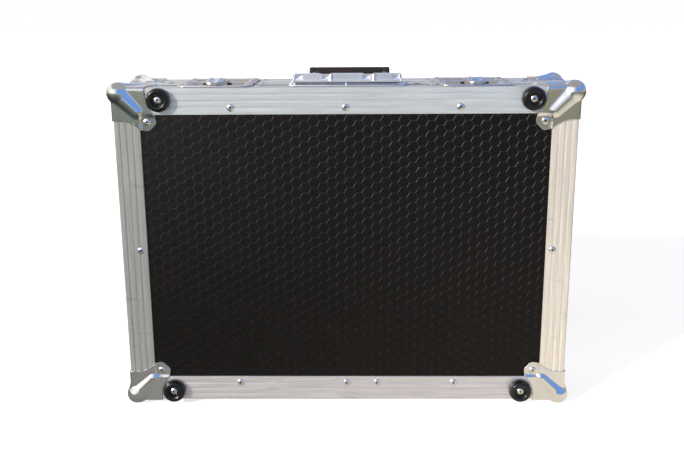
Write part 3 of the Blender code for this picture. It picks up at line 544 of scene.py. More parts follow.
class Tree:
    def __init__(self, name, **inputs):
        self.group = bpy.data.node_groups.new(name, "GeometryNodeTree")
        face = self.group.interface
        face.new_socket("Geometry", in_out="INPUT", socket_type=SOCKETS["geometry"])
        for label, kind in inputs.items():
            face.new_socket(label.replace("_", " "), in_out="INPUT", socket_type=SOCKETS[kind])
        face.new_socket("Geometry", in_out="OUTPUT", socket_type=SOCKETS["geometry"])
        self.source = self.group.nodes.new("NodeGroupInput")

    def value(self, label):
        return self.source.outputs[label]

    def put(self, node, socket, value):
        target = node.inputs[socket]
        if isinstance(value, bpy.types.NodeSocket):
            self.group.links.new(value, target)
        else:
            target.default_value = value

    def node(self, kind, settings=None, **values):
        made = self.group.nodes.new(kind)
        for key, value in (settings or {}).items():
            setattr(made, key, value)
        for key, value in values.items():
            self.put(made, key.replace("_", " "), value)
        return made

    def math(self, operation, first, second=0.0):
        made = self.node("ShaderNodeMath", {"operation": operation})
        self.put(made, 0, first)
        self.put(made, 1, second)
        return made.outputs[0]

    def vector(self, x=0.0, y=0.0, z=0.0):
        return self.node("ShaderNodeCombineXYZ", X=x, Y=y, Z=z).outputs[0]

    def finish_with(self, geometry, material):
        real = self.node("GeometryNodeRealizeInstances", Geometry=geometry)
        final = self.node("GeometryNodeSetMaterial", Geometry=real.outputs[0], Material=material)
        out = self.group.nodes.new("NodeGroupOutput")
        self.group.links.new(final.outputs[0], out.inputs[0])

    def grow(self, source, **values):
        def build(body):
            step = body.modifiers.new("grow", "NODES")
            step.node_group = self.group
            names = {
                item.name: item.identifier
                for item in self.group.interface.items_tree
                if item.item_type == "SOCKET" and item.in_out == "INPUT"
            }
            for key, value in values.items():
                step[names[key.replace("_", " ")]] = value

        return evaluated(source, build)


print("node helper ready")

# %% [markdown]
# ## The hexagon board
#
# The laminate carries a honeycomb of thin raised lines. Painting them as a pattern would give
# lines that never catch the light, and in the picture they show only where the light from the upper
# left meets their flanks. So the lines are real ridges. A honeycomb follows a rule: hexagon centres
# sit in columns one and a half sides apart, every second column shifted by half a hexagon, and the
# upper half of every outline, three edges, is enough, because the neighbours draw the rest. One arc
# of four points is that upper half, and a small triangle is swept along it.

# %% Honeycomb tree
def honeycomb_tree():
    tree = Tree(
        "honeycomb_lines",
        Width="float",
        Height="float",
        Side="float",
        Line_Width="float",
        Line_Height="float",
        Pocket_At="float",
        Pocket_Half="float",
        Finish="material",
    )
    side = tree.value("Side")
    column_step = tree.math("MULTIPLY", side, 1.5)
    row_step = tree.math("MULTIPLY", side, math.sqrt(3))
    columns = tree.math("ADD", tree.math("FLOOR", tree.math("DIVIDE", tree.value("Width"), column_step)), 1)
    rows = tree.math("ADD", tree.math("FLOOR", tree.math("DIVIDE", tree.value("Height"), row_step)), 1)
    index = tree.node("GeometryNodeInputIndex").outputs[0]
    column = tree.math("FLOOR", tree.math("DIVIDE", tree.math("ADD", index, 0.5), rows))
    row = tree.math("SUBTRACT", index, tree.math("MULTIPLY", column, rows))
    shift = tree.math("MULTIPLY", tree.math("FLOORED_MODULO", column, 2), 0.5)
    middle_column = tree.math("MULTIPLY", tree.math("SUBTRACT", columns, 1), 0.5)
    middle_row = tree.math("MULTIPLY", tree.math("SUBTRACT", rows, 0.5), 0.5)
    x = tree.math("MULTIPLY", tree.math("SUBTRACT", column, middle_column), column_step)
    y = tree.math("MULTIPLY", tree.math("SUBTRACT", tree.math("ADD", row, shift), middle_row), row_step)
    count = tree.math("MULTIPLY", columns, rows)
    centres = tree.node("GeometryNodePoints", Count=count, Position=tree.vector(x, y)).outputs[0]
    arc = tree.node("GeometryNodeCurveArc", Resolution=4, Radius=side, Sweep_Angle=math.pi).outputs[0]
    half = tree.math("MULTIPLY", tree.value("Line Width"), 0.5)
    profile = tree.node("GeometryNodeCurvePrimitiveQuadrilateral", {"mode": "POINTS"})
    tree.put(profile, "Point 1", tree.vector(tree.math("MULTIPLY", half, -1)))
    tree.put(profile, "Point 2", tree.vector(0, tree.math("MULTIPLY", tree.value("Line Height"), -1)))
    tree.put(profile, "Point 3", tree.vector(half))
    tree.put(profile, "Point 4", tree.vector(0, tree.math("MULTIPLY", tree.value("Line Height"), 0.1)))
    upright = tree.node("GeometryNodeSetCurveNormal", {"mode": "Z_UP"}, Curve=arc).outputs[0]
    swept = tree.node("GeometryNodeCurveToMesh", Curve=upright, Profile_Curve=profile.outputs[0]).outputs[0]
    spread = tree.node("GeometryNodeInstanceOnPoints", Points=centres, Instance=swept).outputs[0]
    real = tree.node("GeometryNodeRealizeInstances", Geometry=spread).outputs[0]
    place = tree.node("ShaderNodeSeparateXYZ", Vector=tree.node("GeometryNodeInputPosition").outputs[0])
    away = tree.math("ABSOLUTE", place.outputs[0])
    from_pocket = tree.math("ABSOLUTE", tree.math("SUBTRACT", away, tree.value("Pocket At")))
    in_pocket = tree.math("LESS_THAN", from_pocket, tree.value("Pocket Half"))
    past_u = tree.math("GREATER_THAN", away, tree.math("MULTIPLY", tree.value("Width"), 0.5))
    along = tree.math("ABSOLUTE", place.outputs[1])
    past_v = tree.math("GREATER_THAN", along, tree.math("MULTIPLY", tree.value("Height"), 0.5))
    gone = tree.math("MAXIMUM", in_pocket, tree.math("MAXIMUM", past_u, past_v))
    kept = tree.node("GeometryNodeDeleteGeometry", {"domain": "FACE"}, Geometry=real, Selection=gone)
    tree.finish_with(kept.outputs[0], tree.value("Finish"))
    return tree


honeycomb = honeycomb_tree()
print("honeycomb tree with", len(honeycomb.group.nodes), "nodes")

# %% [markdown]
# The pitch comes from the picture: two columns of hexagons every 20.4 mm, so a side of 6.8 mm. The
# same tree draws the two big faces and the strips of board that show between the angles on the four
# narrow sides, where it leaves out what a latch pocket takes away.

# %% Grow the boards' lines
HEX_SIDE = 0.0068
LINE_WIDTH = 0.0012
LINE_HEIGHT = 0.00036
RAIL_WIDTH = 0.030
CLOSING_LEG = 0.012
UNDERLAP = 0.0015
LATCH_FROM_END = 0.113
LATCH_U = HALF_WIDTH - LATCH_FROM_END
POCKET_HALF = 0.0345


def board_lines(place, width, height, pocket=0.0):
    grown = honeycomb.grow(
        bpy.data.meshes.new("empty"),
        Width=width,
        Height=height,
        Side=HEX_SIDE,
        Line_Width=LINE_WIDTH,
        Line_Height=LINE_HEIGHT,
        Pocket_At=LATCH_U,
        Pocket_Half=pocket,
        Finish=LINE_LAMINATE,
    )
    return placed(grown, moved(place, w=-SKIN))


FACES = {"base": FRONT, "lid": BACK}
SIGNS = {"base": -1, "lid": 1}
DEPTHS = {"base": PART_Y - FRONT_Y, "lid": BACK_Y - PART_Y}


def dress_boards(half):
    strip = DEPTHS[half] - RAIL_WIDTH - CLOSING_LEG + 2 * UNDERLAP
    middle = (CLOSING_LEG - UNDERLAP + strip / 2) * SIGNS[half]
    wide, high = 2 * (HALF_WIDTH - RAIL_WIDTH + UNDERLAP), 2 * (HALF_HEIGHT - RAIL_WIDTH + UNDERLAP)
    parts = [
        board_lines(FACES[half], wide, high),
        board_lines(moved(TOP, v=middle), wide, strip, pocket=POCKET_HALF),
        board_lines(moved(UNDER, v=middle), wide, strip, pocket=POCKET_HALF),
        board_lines(moved(LEFT, u=-middle), strip, high),
        board_lines(moved(RIGHT, u=middle), strip, high),
    ]
    lines = piece(half + "_honeycomb_lines", joined(*parts), LINE_LAMINATE, half, smooth=20)
    for node in (half + "_panel", half + "_walls"):
        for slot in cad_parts[node].material_slots:
            slot.material = LAMINATE
    return lines


for half in ("base", "lid"):
    print(half, "board lines:", len(dress_boards(half).data.polygons), "faces")

# %% [markdown]
# ## Edge angle
#
# The angle is an extrusion: one outline, drawn along each edge and mitred at its ends. Along each
# 30 mm leg run three shallow grooves and a rounded bead at the free edge. The outline is drawn for
# one leg as distance from the corner and depth under the face, then mirrored for the other leg.

# %% The outline of one leg, and of the whole angle
RAIL_THICK = 0.0015
GROOVE_PITCH = 0.00725
GROOVE = ((-0.00150, 0.0), (-0.00115, 0.00008), (-0.00070, 0.00052), (-0.00025, 0.00062))
BEAD = ((0.0300, 0.0015), (0.0300, 0.0009), (0.02985, 0.00045), (0.0295, 0.00012), (0.0290, 0.0))
STEP_LINE = ((0.02830, 0.0), (0.02805, 0.00022), (0.02775, 0.00022), (0.02750, 0.0))


def leg_points():
    points = list(BEAD) + list(STEP_LINE)
    for number in (3, 2, 1):
        middle = number * GROOVE_PITCH
        points += [(middle - offset, depth) for offset, depth in GROOVE]
        points += [(middle + offset, depth) for offset, depth in reversed(GROOVE)]
    return points


def angle_outline(radius=0.0025, steps=6):
    """The outline from the inner corner round both legs, and the number of its outer corner point."""
    leg = leg_points()
    turns = [math.radians(90 * step / steps) for step in range(steps + 1)]
    arc = [(radius * (1 - math.cos(turn)), radius * (1 - math.sin(turn))) for turn in turns]
    outline = [(RAIL_THICK, RAIL_THICK)] + [(depth, away) for away, depth in leg] + arc
    split = 1 + len(leg) + steps // 2
    return outline + [(away, depth) for away, depth in reversed(leg)], split


OUTLINE, SPLIT = angle_outline()
print("angle outline:", len(OUTLINE), "points")

# %% [markdown]
# One bar is the outline at its two ends. The mitre needs no cutting: each point simply stops as far
# short of the corner as it lies from the edge. Afterwards the bar is marked with its grain.

# %% One bar of angle
def with_grain(mesh, rule, number):
    """Stores distance along, distance across and the bar's number on every face corner."""
    grain = np.zeros((len(mesh.loops), 3), dtype=np.float32)
    across = np.zeros((len(mesh.loops), 3), dtype=np.float32)
    for face in mesh.polygons:
        for loop in face.loop_indices:
            s, t, along = rule(face, mesh.vertices[mesh.loops[loop].vertex_index].co)
            grain[loop] = (s, t, number)
            across[loop] = face.normal.cross(along)
    for name, values in (("grain", grain), ("across", across)):
        mesh.attributes.new(name, "FLOAT_VECTOR", "CORNER").data.foreach_set("vector", values.ravel())


def angle_bar(corner, along, leg_a, leg_b, length, square_end=False):
    corner, along, leg_a, leg_b = (Vector(item) for item in (corner, along, leg_a, leg_b))
    count = len(OUTLINE)
    points = []
    for place, sign, mitred in ((0, 1, True), (length, -1, not square_end)):
        for a, b in OUTLINE:
            s = place + sign * (max(a, b) + CLEAR / 2 if mitred else 0)
            points.append(corner + along * s + leg_a * a + leg_b * b)
    faces = [(i, (i + 1) % count, count + (i + 1) % count, count + i) for i in range(count)]
    for start in (0, count):
        row = list(range(start, start + count))
        faces += [tuple(row[: SPLIT + 1]), tuple(row[SPLIT:] + row[:1])]
    return tidy(mesh_of(points, faces), 1e-7)


def bar_grain(corner, along, leg_a, leg_b):
    corner, along, leg_a, leg_b = (Vector(item) for item in (corner, along, leg_a, leg_b))

    def rule(face, point):
        off = point - corner
        a, b = off.dot(leg_a), off.dot(leg_b)
        centre = face.center - corner
        return off.dot(along), b if centre.dot(leg_b) > centre.dot(leg_a) else -a, along

    return rule


print("bar helper ready")

# %% [markdown]
# The top and bottom bars and the boards are notched where the latch pockets sit. The notch lies
# wholly under the latch's flange, so a plain box is cut out.

# %% Latch notches
DISH_LENGTH = {"base": 0.042, "lid": 0.023}
CHANNEL_DEPTH = 0.003
CHANNEL_FLOOR = PART_GAP / 2 + CHANNEL_DEPTH + RAIL_THICK
DISH_WALL = 0.001
DISH_START = CHANNEL_FLOOR + 1.5 * CLEAR + DISH_WALL
RIM_HALF = 0.033


def notch_boxes(half):
    near = CHANNEL_FLOOR + CLEAR / 2
    far = DISH_START + DISH_LENGTH[half] + DISH_WALL + CLEAR
    low, high = (-far, -near) if half == "base" else (near, far)
    reach = RIM_HALF + DISH_WALL + CLEAR
    return [
        box_mesh((side * LATCH_U - reach, low, CLEAR - INNER), (side * LATCH_U + reach, high, INNER))
        for side in (-1, 1)
    ]


def notched(mesh, half, places):
    for place in places:
        for tool in notch_boxes(half):
            mesh = combined(mesh, placed(tool, place))
    return mesh


print("notches:", len(notch_boxes("base")), "on each side of a half")

# %% [markdown]
# Each half has four long bars round its face, mitred at both ends, and four short ones that run from
# the ball corners to the closing profile, square at that end.

# %% The bars of both halves
FACE_Y = {"base": (FRONT_Y, 1), "lid": (BACK_Y, -1)}


def dress_edges(half):
    face_y, into = FACE_Y[half]
    inwards = (0, into, 0)
    wide, high = 2 * HALF_WIDTH, 2 * HALF_HEIGHT
    bars = {
        "top": ((-HALF_WIDTH, face_y, TOP_Z), (1, 0, 0), (0, 0, -1), wide, [TOP]),
        "bottom": ((-HALF_WIDTH, face_y, BOTTOM_Z), (1, 0, 0), (0, 0, 1), wide, [UNDER]),
        "left": ((-HALF_WIDTH, face_y, BOTTOM_Z), (0, 0, 1), (1, 0, 0), high, []),
        "right": ((HALF_WIDTH, face_y, BOTTOM_Z), (0, 0, 1), (-1, 0, 0), high, []),
    }
    for number, (name, (corner, along, across, length, notches)) in enumerate(bars.items()):
        bar = angle_bar(corner, along, across, inwards, length)
        bar = notched(bar, half, notches)
        with_grain(bar, bar_grain(corner, along, across, inwards), number + (0 if half == "base" else 9))
        # The base's front bars take the tones with painted light and shade.
        tone = ALUMINIUM[name] if half == "base" else ALUMINIUM["plain"]
        piece(half + "_edge_angle_" + name, bar, tone, half, [half + "_rail_" + name], 20)
    length = abs(PART_Y - face_y) - CLOSING_LEG - CLEAR
    for column, x, x_in in (("left", -HALF_WIDTH, 1), ("right", HALF_WIDTH, -1)):
        for row, z, z_in in (("bottom", BOTTOM_Z, 1), ("top", TOP_Z, -1)):
            corner, legs = (x, face_y, z), ((x_in, 0, 0), (0, 0, z_in))
            bar = angle_bar(corner, inwards, *legs, length, square_end=True)
            with_grain(bar, bar_grain(corner, inwards, *legs), 5 + x_in + z_in)
            name = half + "_corner_angle_" + row + "_" + column
            piece(name + "_bar", bar, ALUMINIUM["plain"], half, [name], 20)
    print(half, "edge angles drawn")


for half in ("base", "lid"):
    dress_edges(half)

# %% [markdown]
# ## Closing profile
#
# Where the halves meet, the lid's frame has a tongue and the base's a groove, so that the lid can't
# slide off sideways. It is one outline taken round the rim of the case.

# %% Tongue and groove
CLOSING_INNER = INNER + CLEAR
GROOVE_HALF = 0.0022
TONGUE_HALF, TONGUE_REACH = 0.0014, 0.0024
INNER_LEG = 0.008


def closing_outline(tongue):
    face, web = PART_GAP / 2, PART_GAP / 2 + RAIL_THICK
    middle = (RAIL_THICK + CLOSING_INNER) / 2
    if tongue:
        low, high, tip = middle - TONGUE_HALF, middle + TONGUE_HALF, face - TONGUE_REACH
        bend = [(low, face), (low + 0.0003, tip + 0.0004), (low + 0.0007, tip)]
        bend += [(high - 0.0007, tip), (high - 0.0003, tip + 0.0004), (high, face)]
        back = []
    else:
        low, high, tip = middle - GROOVE_HALF, middle + GROOVE_HALF, face + CHANNEL_DEPTH
        bend = [(low, face), (low, tip), (high, tip), (high, face)]
        back = [(high + RAIL_THICK, web), (high + RAIL_THICK, tip + RAIL_THICK)]
        back += [(low - RAIL_THICK, tip + RAIL_THICK), (low - RAIL_THICK, web)]
    inner = CLOSING_INNER + RAIL_THICK
    lip = 0.0003
    outline = [(0, face + lip), (lip, face)] + bend
    outline += [(inner, face), (inner, INNER_LEG), (CLOSING_INNER, INNER_LEG), (CLOSING_INNER, web)]
    outline += back + [(RAIL_THICK, web), (RAIL_THICK, CLOSING_LEG)]
    return outline + [(lip, CLOSING_LEG), (0, CLOSING_LEG - lip)]


def rim(inwards, y):
    x, low, high = HALF_WIDTH - inwards, BOTTOM_Z + inwards, TOP_Z - inwards
    return [(-x, y, low), (x, y, low), (x, y, high), (-x, y, high)]


def rim_grain(face, point):
    upright = HALF_WIDTH - abs(face.center.x) < HALF_HEIGHT - abs(face.center.z - MIDDLE_Z)
    along = Vector((0, 0, 1)) if upright else Vector((1, 0, 0))
    return point.dot(along), point.y + (point.x if upright else point.z), along


for half, into in (("base", -1), ("lid", 1)):
    loops = [rim(q, PART_Y + into * p) for q, p in closing_outline(half == "lid")]
    closing = notched(loft(loops, closed=True), half, [TOP, UNDER])
    with_grain(closing, rim_grain, 20 + into)
    name = half + "_closing_profile"
    piece(name + "_frame", closing, ALUMINIUM["plain"], half, [name], 25)
    print(name, len(closing.polygons), "faces")

# %% [markdown]
# ## Rivets
#
# A blind rivet leaves a low dome with a small deep hole where its pin broke off. There are more than
# a hundred, so they are grown on points: each point carries the direction that it faces and a size.
# The head is built inside the tree by pushing a disc up in short steps and scaling it each time, and
# the last steps go down again to make the hole.

# %% Rivet tree
RIVET_RADIUS = 0.00425
HEAD_STEPS = (
    (0.00018, 1.02),
    (0.00022, 0.96),
    (0.00045, 0.84),
    (0.00038, 0.74),
    (0.00018, 0.62),
    (-0.00010, 0.80),
    (-0.00090, 0.92),
)


def rivet_tree():
    tree = Tree("rivet_heads", Radius="float", Sides="int", Finish="material")
    disc = tree.node("GeometryNodeMeshCircle", {"fill_type": "NGON"}, Vertices=tree.value("Sides"))
    tree.put(disc, "Radius", tree.value("Radius"))
    shape, chosen = disc.outputs[0], None
    for height, scale in HEAD_STEPS:
        pushed = tree.node("GeometryNodeExtrudeMesh", {"mode": "FACES"}, Mesh=shape, Offset_Scale=1.0)
        tree.put(pushed, "Offset", tree.vector(0, 0, height))
        if chosen is not None:
            tree.put(pushed, "Selection", chosen)
        chosen = pushed.outputs["Top"]
        scaled = tree.node("GeometryNodeScaleElements", Geometry=pushed.outputs["Mesh"], Scale=scale)
        tree.put(scaled, "Selection", chosen)
        shape = scaled.outputs[0]
    facing = tree.node("GeometryNodeInputNamedAttribute", {"data_type": "FLOAT_VECTOR"}, Name="facing")
    size = tree.node("GeometryNodeInputNamedAttribute", {"data_type": "FLOAT"}, Name="size")
    turn = tree.node("FunctionNodeAlignRotationToVector", {"axis": "Z"}, Vector=facing.outputs[0])
    spread = tree.node("GeometryNodeInstanceOnPoints", Points=tree.value("Geometry"), Instance=shape)
    tree.put(spread, "Rotation", turn.outputs[0])
    tree.put(spread, "Scale", size.outputs[0])
    tree.finish_with(spread.outputs[0], tree.value("Finish"))
    return tree


rivets = rivet_tree()


def rivet_points(spots):
    """A mesh of bare points from (frame, size) pairs."""
    mesh = mesh_of([spot.translation for spot, _ in spots], [])
    outwards = [number for spot, _ in spots for number in spot.to_3x3() @ Vector((0, 0, 1))]
    mesh.attributes.new("facing", "FLOAT_VECTOR", "POINT").data.foreach_set("vector", outwards)
    mesh.attributes.new("size", "FLOAT", "POINT").data.foreach_set("value", [size for _, size in spots])
    return mesh


print("rivet tree with", len(rivets.group.nodes), "nodes")

# %% [markdown]
# The rivets sit where the picture shows them on the front: three along the long bars, one in the
# middle of each upright, one extra beside a splice in the lower bar, one in the tip of each corner
# plate and one in each foot. The other sides follow the same spacing. A spot is a local frame on the
# surface and the size of the head.

# %% Rivet places on the bars and in the feet
SMALL = 0.80
FLANGE_HALF = 0.042
FEET_U, FEET_V = HALF_WIDTH - 0.0525, HALF_HEIGHT - 0.013
FEET = [(side * FEET_U, row * FEET_V) for row in (-1, 1) for side in (-1, 1)]
FOOT_SEAT = 0.0058
RIVET_FROM_EDGE = 0.0222
RIVET_FROM_END = 0.1325
PLATE_LEG = 0.0365
SPLICE_RIVET_U = 0.0363


def rail_spots(half):
    sign, face = SIGNS[half], FACES[half]
    high, far = HALF_HEIGHT - RIVET_FROM_EDGE, HALF_WIDTH - RIVET_FROM_END
    leg = sign * (DEPTHS[half] - RIVET_FROM_EDGE)
    beside = LATCH_U - FLANGE_HALF - 0.0068
    spots = [(moved(face, u, v), 1.0) for u in (-far, 0, far) for v in (-high, high)]
    spots += [(moved(face, side * (HALF_WIDTH - RIVET_FROM_EDGE), 0), 1.0) for side in (-1, 1)]
    spots += [(moved(side, u, leg), 1.0) for side in (TOP, UNDER) for u in (-beside, beside)]
    spots += [(moved(LEFT, -leg, 0), 1.0), (moved(RIGHT, leg, 0), 1.0)]
    if half == "base":
        spots.append((moved(face, SPLICE_RIVET_U, -high), 1.0))
        spots += [(moved(face, u, v, FOOT_SEAT), 1.0) for u, v in FEET]
    closing = sign * CLOSING_LEG / 2
    end = (FLANGE_HALF + LATCH_U + HALF_WIDTH - PLATE_LEG) / 2
    tall = HALF_HEIGHT - RIVET_FROM_END
    for side in (TOP, UNDER):
        spots += [(moved(side, u, closing), SMALL) for u in (-end, -beside, beside, end)]
    for v in (-tall, 0, tall):
        spots += [(moved(LEFT, -closing, v), SMALL), (moved(RIGHT, closing, v), SMALL)]
    return spots


print("rivets on the base's bars:", len(rail_spots("base")))

# %% [markdown]
# A ball corner has a rivet in each of its three tips, a latch four round each of its pans, and the
# handle two on either side. Together with the bars' these are all the rivets of one half.

# %% Rivet places on the corners, the latches and the handle
CORNERS = [
    (row, column, z, x, z_in, x_in)
    for row, z, z_in in (("bottom", BOTTOM_Z, 1), ("top", TOP_Z, -1))
    for column, x, x_in in (("left", -HALF_WIDTH, 1), ("right", HALF_WIDTH, -1))
]
TIP_LEVEL = -0.0003
TIP_RIVET = 0.038
FLANGE_TOP = CLEAR + 0.0012
FLANGE_LENGTH = {"base": 0.0585, "lid": 0.0485}
HANDLE_U = 0.002
PLATE_V = FRONT_Y - PART_Y + 0.010
PLATE_HALF, PLATE_LENGTH = 0.066, 0.048
HANDLE_THICK = 0.0015
LATCH_RIVET_INSET = 0.010


def corner_spots(half):
    y, into = FACE_Y[half]
    spots = []
    for row, column, z, x, z_in, x_in in CORNERS:
        axes = (Vector((x_in, 0, 0)), Vector((0, into, 0)), Vector((0, 0, z_in)))
        for k in range(3):
            a, b, out = axes[k], axes[(k + 1) % 3], -axes[(k + 2) % 3]
            at = Vector((x, y, z)) + TIP_RIVET * (a + b) + TIP_LEVEL * out
            spots.append((frame_at(at, a, out.cross(a), out), 1.0))
    return spots


def latch_spots(half):
    seat = (RIM_HALF + FLANGE_HALF) / 2
    spots = []
    for side in (TOP, UNDER):
        for u in (-LATCH_U, LATCH_U):
            for off in (-seat, seat):
                for v in (LATCH_RIVET_INSET, FLANGE_LENGTH[half] - LATCH_RIVET_INSET):
                    spots.append((moved(side, u + off, SIGNS[half] * v, FLANGE_TOP), SMALL))
    return spots


def handle_spots():
    spots = []
    for side in (-1, 1):
        for v in (PLATE_V + PLATE_LENGTH / 2, PLATE_V + PLATE_LENGTH - 0.011):
            u = HANDLE_U + side * (PLATE_HALF - 0.0055)
            spots.append((moved(TOP, u, v, CLEAR + HANDLE_THICK), SMALL))
    return spots


def rivet_spots(half):
    spots = rail_spots(half) + corner_spots(half) + latch_spots(half)
    return spots + handle_spots() if half == "base" else spots


print("rivets:", {half: len(rivet_spots(half)) for half in ("base", "lid")})

# %% [markdown]
# The heads grow on their spots. The bottom of each hole is in deep shadow. A dark disc at the foot
# of the hole gives that shadow at any distance, where the real depth would be lost in a few pixels.

# %% Grow the rivets and shade their holes
for half in ("base", "lid"):
    points = rivet_points(rivet_spots(half))
    heads = rivets.grow(points, Radius=RIVET_RADIUS, Sides=16, Finish=RIVET_STEEL)
    tidy(heads, 1e-7)
    piece(half + "_rivets", heads, RIVET_STEEL, half, smooth=30)
    print(half, len(heads.polygons), "faces of rivets")

HOLE_RADIUS, HOLE_FLOOR = 0.00112, 0.00052
flat = [(0.0, HOLE_FLOOR), (HOLE_RADIUS, HOLE_FLOOR)]
disc = turned(flat + [(radius, height + 0.0001) for radius, height in reversed(flat)], 10)
for half in ("base", "lid"):
    scaled = [spot @ Matrix.Diagonal((size, size, size, 1)) for spot, size in rivet_spots(half)]
    holes = joined(*(placed(disc, spot) for spot in scaled))
    piece(half + "_rivet_hole_shadows", holes, SHADOW_STEEL, half)
    print(half, len(scaled), "rivet holes shaded")

# %% [markdown]
# ## Ball corners
#
# A ball corner is one blank of steel pressed over the corner of the case: a ball on the corner, a
# rounded ridge running from it down the middle of each of three faces, and three flat plates with
# scooped edges that end in a riveted tip, stepped down from the angle onto the board. Joining a
# sphere, cones and plates would leave hard seams. A pressing has none, so the shape is written as a
# distance function, with each part blended softly into the next, and a sheet of points is laid on
# the surface where that distance is zero.
#
# Three small functions do the blending: the smaller of two distances with a soft join, a step with
# soft ends, and the distance to a round bar that tapers.

# %% Soft joins
def soft_min(a, b, width):
    closeness = np.maximum(width - np.abs(a - b), 0) / width
    return np.minimum(a, b) - closeness * closeness * width / 4


def smooth_step(x):
    x = np.clip(x, 0, 1)
    return x * x * (3 - 2 * x)


def tapered_bar(points, start, end, start_radius, end_radius):
    """Distance to a round bar that tapers from one ball to a smaller one."""
    line = end - start
    length = np.linalg.norm(line)
    line = line / length
    off = points - start
    along = off @ line
    aside = np.linalg.norm(off - np.outer(along, line), axis=1)
    slope = (start_radius - end_radius) / length
    lean = math.sqrt(1 - slope * slope)
    at = np.clip(along + aside * slope / lean, 0, length)
    return np.hypot(aside, along - at) - (start_radius + (end_radius - start_radius) * at / length)


print("soft joins ready")

# %% [markdown]
# The corner itself is a box with rounded edges, a ball and three ridges. Near a tip the box steps
# down to the board. The second function walks any points along the slope of that distance until they
# lie on the surface, and gives the direction that the surface faces there.

# %% The corner as a distance function
BALL_RADIUS = 0.0122
BALL_OUT = 0.0062
CORNER_PLATE = 0.0012
BALL_AT = BALL_RADIUS - BALL_OUT
OUTER = CLEAR + CORNER_PLATE
RIDGE_SIDE, RIDGE_SUNK, RIDGE_END_RADIUS = 0.0268, 0.0068, 0.0106
EDGE_RADIUS = 0.0036
STEP_AT, STEP_WIDTH = 0.0297, 0.0022


def corner_distance(points):
    """Signed distance to the outside of the corner, which holds the case towards +, +, +."""
    outwards = -points.copy()
    for axis in range(3):
        a, b = points[:, (axis + 1) % 3], points[:, (axis + 2) % 3]
        fall = smooth_step((a - STEP_AT) / STEP_WIDTH) * smooth_step((b - STEP_AT) / STEP_WIDTH)
        outwards[:, axis] += fall * (OUTER - TIP_LEVEL)
    over = outwards - OUTER + EDGE_RADIUS
    box = np.linalg.norm(np.maximum(over, 0), axis=1) + np.minimum(over.max(axis=1), 0) - EDGE_RADIUS
    centre = np.full(3, BALL_AT)
    round_part = np.linalg.norm(points - centre, axis=1) - BALL_RADIUS
    for axis in range(3):
        end = np.full(3, RIDGE_SIDE)
        end[axis] = RIDGE_SUNK
        ridge = tapered_bar(points, centre, end, BALL_RADIUS * 0.97, RIDGE_END_RADIUS)
        round_part = soft_min(round_part, ridge, 0.0016)
    return soft_min(box, round_part, 0.0014)


def settle(points, rounds=14):
    """Moves points along the slope of the distance until they lie on the surface."""
    reach = 1e-5
    for _ in range(rounds):
        slope = np.stack(
            [
                corner_distance(points + reach * step) - corner_distance(points - reach * step)
                for step in np.eye(3)
            ],
            axis=1,
        ) / (2 * reach)
        distance = corner_distance(points)
        points = points - slope * (0.9 * distance / np.maximum((slope * slope).sum(axis=1), 0.05))[:, None]
    return points, slope / np.linalg.norm(slope, axis=1)[:, None]


print("corner distance ready")

# %% [markdown]
# The plate's edge on one face is a short straight leg, a scoop and a blunt tip. It is drawn from one
# leg to the tip and mirrored, and `edge_reach` says how far from the corner it lies in a direction.

# %% The plate's edge
LEG_END = (PLATE_LEG, 0.0092)
PLATE_BEND = ((0.0375, 0.0215), (0.0470, 0.0310))
PLATE_TIP = ((0.0483, 0.0385), (0.0470, 0.0412))


def plate_edge():
    """The plate's edge on one face, from one leg to the tip, by distances from the case's edges."""
    points = [(LEG_END[0], -OUTER), (LEG_END[0], LEG_END[1] * 0.6), LEG_END]
    for t in np.linspace(0.1, 1, 12):
        weights = ((1 - t) ** 2, 2 * t * (1 - t), t * t)
        curve = (LEG_END, *PLATE_BEND)
        points.append(tuple(sum(k * p[i] for k, p in zip(weights, curve)) for i in (0, 1)))
    return points + list(PLATE_TIP)


def edge_reach(angle):
    """How far the plate's edge lies from the outer corner, in one direction."""
    points = plate_edge()
    points = np.array(points + [(b, a) for a, b in reversed(points)]) + OUTER
    ray = np.array((math.cos(angle), math.sin(angle)))
    best = 0.0
    for p, q in zip(points, points[1:]):
        d = q - p
        cross = ray[0] * d[1] - ray[1] * d[0]
        if abs(cross) < 1e-12:
            continue
        t = (p[0] * d[1] - p[1] * d[0]) / cross
        s = (p[0] * ray[1] - p[1] * ray[0]) / cross
        if t > 0 and -1e-6 <= s <= 1 + 1e-6:
            best = max(best, t)
    return best


print("the tip lies", round(edge_reach(math.pi / 4), 4), "from the corner")

# %% [markdown]
# The sheet is laid out like a fan on each of the three faces, from the corner to the plate's edge,
# with the spokes and the rings closer together at the tip, where the step has to be crisp. A few
# more rings round the edge over and give the plate its thickness.

# %% Lay the sheet
SPOKES, CROWDING = 30, 1.7
INNER_RINGS, TIP_RINGS = 40, 44
TIP_FROM = 0.66
OVER_EDGE = ((0.00022, 0.00008), (0.00034, 0.00032), (0.00034, CORNER_PLATE), (-0.0030, CORNER_PLATE))


